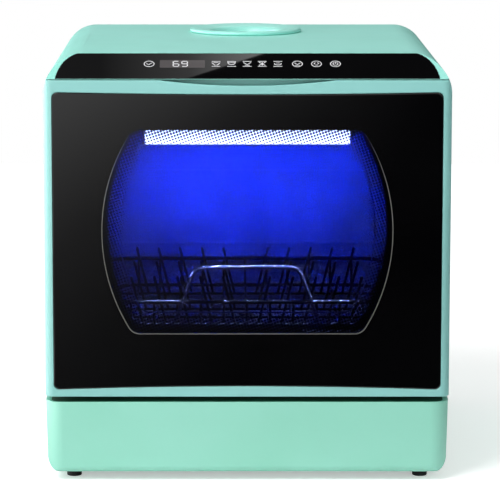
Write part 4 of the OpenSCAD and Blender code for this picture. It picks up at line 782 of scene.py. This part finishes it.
def spray_arm(name, node, z0, thick, reach, root, tip, up):
    """Two blades on a bored hub, with a row of raised nozzle rims on the side that sprays."""
    parts = [arm_blade(s, 9.0, reach, root, tip, z0 + 0.4, thick - 0.8) for s in (-1, 1)]
    hub = [(HUB_BORE_R, z0), (root + 3, z0), (root + 3, z0 + thick), (HUB_BORE_R, z0 + thick)]
    parts.append(turned(soft_profile(hub, 2.0), 0, HUB_Y, 48))
    for s in (-1, 1):
        for i in range(1, 6):
            x, y = s * reach * (0.2 + 0.145 * i), HUB_Y + s * (3 if i % 2 == 0 else -3)
            z = z0 + thick - 1.0 if up else z0 + 1.0
            rim = [(1.1, z - 0.4), (2.6, z - 0.4), (2.4, z + 0.9), (1.1, z + 0.9)] if up else \
                  [(1.1, z - 0.9), (2.4, z - 0.9), (2.6, z + 0.4), (1.1, z + 0.4)]
            parts.append(turned(rim, x, y, 16))
    return piece(name, parts, arm_pp, BODY[node], (node,))


spray_arm("lower_arm", "lower_spray_arm", 133.0, 10.0, 142.0, 15.0, 9.0, True)
spray_arm("upper_arm", "upper_spray_arm", 374.0, 8.0, 105.0, 12.0, 7.0, False)


# ---- Floor, reflectors and light ------------------------------------------------

def plain_sheet(name, corners, material):
    """One flat sheet from its four corners in metres."""
    mesh = bpy.data.meshes.new(name)
    mesh.from_pydata(corners, [], [(0, 1, 2, 3)])
    mesh.materials.append(material)
    obj = bpy.data.objects.new(name, mesh)
    bpy.context.scene.collection.objects.link(obj)
    return obj


def floor_paint():
    """Matte white studio floor that the camera sees a little brighter than it is, so that it is white."""
    m, t, out = blank("studio_floor")
    far = add(t, "VectorMath", {"operation": "LENGTH"}, {0: add(t, "TexCoord").outputs["Object"]})
    lift = add(t, "MapRange", {"From Min": 0.3, "From Max": 1.6, "To Min": 0.42, "To Max": 0.6},
               {"Value": far.outputs["Value"]})
    seen = add(t, "Math", {"operation": "MULTIPLY"},
               {0: add(t, "LightPath").outputs["Is Camera Ray"], 1: lift.outputs["Result"]})
    skin = add(t, "BsdfPrincipled", {"Base Color": linear("#f7f7f7"), "Roughness": 1.0,
               "Specular IOR Level": 0.0, "Emission Color": linear("#ffffff")},
               {"Emission Strength": seen.outputs[0]})
    t.links.new(skin.outputs["BSDF"], out.inputs["Surface"])
    return m


plain_sheet("floor", [(-6, -9, 0), (6, -9, 0), (6, 2.4, 0), (-6, 2.4, 0)], floor_paint())


def card_paint(name, stops, start, end):
    """Studio reflector whose light runs through the stops from start to end, in metres."""
    m, t, out = blank(name)
    place = add(t, "TexCoord").outputs["Object"]
    along = (Vector(end) - Vector(start))
    dot = add(t, "VectorMath", {"operation": "DOT_PRODUCT", 1: along / along.length_squared},
              {0: add(t, "VectorMath", {"operation": "SUBTRACT", 1: start}, {0: place}).outputs[0]})
    ramp = add(t, "ValToRGB", {"ramp": [(p, (v, v, v, 1.0)) for p, v in stops]},
               {"Fac": dot.outputs["Value"]})
    glow = add(t, "Emission", None, {"Color": ramp.outputs["Color"]})
    t.links.new(glow.outputs["Emission"], out.inputs["Surface"])
    return m


def reflector(name, corners, paint):
    """Sheet that only mirrors see, so that it shapes gloss and leaves the plain light alone."""
    obj = plain_sheet(name, corners, paint)
    obj.visible_camera = obj.visible_diffuse = obj.visible_shadow = obj.visible_transmission = False
    return obj


# Dark cloth on the floor in front, seen only in the door glass, paler far off on the left
reflector("front_flag", [(-3.0, -9.0, 0.002), (3.0, -9.0, 0.002), (3.0, -0.45, 0.002), (-3.0, -0.45, 0.002)],
          card_paint("front_flag_cloth",
                     [(0.0, 0.01), (0.17, 0.02), (0.39, 0.11), (0.577, 0.28), (1.0, 1.05)],
                     (0.06, 0, 0), (-0.977, -0.154, 0)))
# Black cloth over the rear, seen in the control edge, and a grey card under it with a slanting edge
reflector("top_flag", [(-4, 0.3, 2.61), (4, 0.3, 2.61), (4, 1.5, 2.61), (-4, 1.5, 2.61)],
          card_paint("top_flag_cloth", [(0.0, 0.02), (1.0, 0.04)], (-2, 0, 2.61), (2, 0, 2.61)))
reflector("top_card", [(-3.0, 0.5, 2.6), (-1.035, 0.5, 2.6), (0.888, 1.2, 2.6), (-3.0, 1.2, 2.6)],
          card_paint("top_card_paint", [(0.0, 0.12), (0.58, 0.53), (0.91, 1.5), (1.0, 1.8)],
                     (-0.26, 0.9, 2.6), (0.03, 0.9, 2.6)))

# A white card on the left and black cloth on the right, seen in the rounded corners
reflector("left_card", [(-2.2, -1.2, 0.0), (-2.2, 5.0, 0.0), (-2.2, 5.0, 2.0), (-2.2, -1.2, 2.0)],
          card_paint("left_card_paint", [(0.0, 6.0), (1.0, 6.0)], (0, -2, 0), (0, 2.5, 0)))
reflector("right_flag", [(2.0, -4.0, 0.0), (2.0, 6.0, 0.0), (2.0, 6.0, 4.0), (2.0, -4.0, 4.0)],
          card_paint("right_flag_cloth", [(0.0, 0.05), (1.0, 0.12)], (0, -2.5, 0), (0, 2.5, 0)))
# White board and black cloth on the floor at each side, seen at a low angle in the lower sides
reflector("left_board", [(-4.0, -0.9, 0.003), (-0.45, -0.9, 0.003), (-0.45, 5.0, 0.003), (-4.0, 5.0, 0.003)],
          card_paint("left_board_paint", [(0.0, 3.0), (1.0, 2.0)], (-0.45, 0, 0), (-3, 0, 0)))
reflector("right_cloth", [(0.45, -0.9, 0.003), (4.0, -0.9, 0.003), (4.0, 5.0, 0.003), (0.45, 5.0, 0.003)],
          card_paint("right_cloth_paint", [(0.0, 0.06), (1.0, 0.1)], (0.45, 0, 0), (3, 0, 0)))
# Dark grey cloth far behind, seen in the top at a low angle
reflector("rear_flag", [(-3, 3.0, 0.0), (3, 3.0, 0.0), (3, 3.0, 1.6), (-3, 3.0, 1.6)],
          card_paint("rear_flag_cloth", [(0.0, 0.05), (1.0, 0.09)], (0, 3, 0.0), (0, 3, 1.6)))

world = bpy.data.worlds.new("studio")
bpy.context.scene.world = world
world.use_nodes = True
tree = world.node_tree
tree.nodes.clear()
path = add(tree, "LightPath")
shown = add(tree, "Math", {"operation": "MAXIMUM"},
            {0: path.outputs["Is Camera Ray"], 1: path.outputs["Is Glossy Ray"]})
shown = add(tree, "Math", {"operation": "MAXIMUM"},
            {0: shown.outputs[0], 1: path.outputs["Is Transmission Ray"]})
level = add(tree, "MapRange", {"To Min": 0.5, "To Max": 1.0}, {"Value": shown.outputs[0]})
sky = add(tree, "Background", {"Color": (1, 1, 1, 1)}, {"Strength": level.outputs["Result"]})
tree.links.new(sky.outputs[0], add(tree, "OutputWorld").inputs["Surface"])


def lamp(name, place, aim, size, watts, colour=(1, 1, 1)):
    """Soft rectangular lamp at a place in metres, turned to its aim."""
    data = bpy.data.lights.new(name, "AREA")
    data.shape, data.size, data.size_y, data.energy, data.color = "RECTANGLE", *size, watts, colour
    obj = bpy.data.objects.new(name, data)
    obj.location = place
    obj.rotation_euler = (Vector(aim) - Vector(place)).to_track_quat("-Z", "Y").to_euler()
    bpy.context.scene.collection.objects.link(obj)
    return obj


lamp("key_softbox", (-1.45, -1.75, 2.6), (0, 0, 0.25), (1.6, 1.6), 74)
lamp("side_softbox", (-0.75, -1.25, 0.35), (-0.15, -0.2, 0.2), (0.6, 0.6), 1.1)
tub_lamp = lamp("tub_lamp", (0, -0.132, 0.3935), (0, 0.14, 0.281), (0.24, 0.02), 1.5, (0.012, 0.07, 1.0))
tub_lamp.data.spread = math.radians(42)
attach(tub_lamp, "cabinet")
# Light of the strip in the door, which falls on the rack's front wires and moves with the door
rim_lamp = lamp("rim_lamp", (0, -0.1655, 0.393), (0, -0.163, 0.2), (0.22, 0.01), 0.55, (1.0, 0.97, 0.94))
rim_lamp.data.spread = math.radians(20)
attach(rim_lamp, "door")

bpy.context.scene.view_settings.view_transform = "Standard"
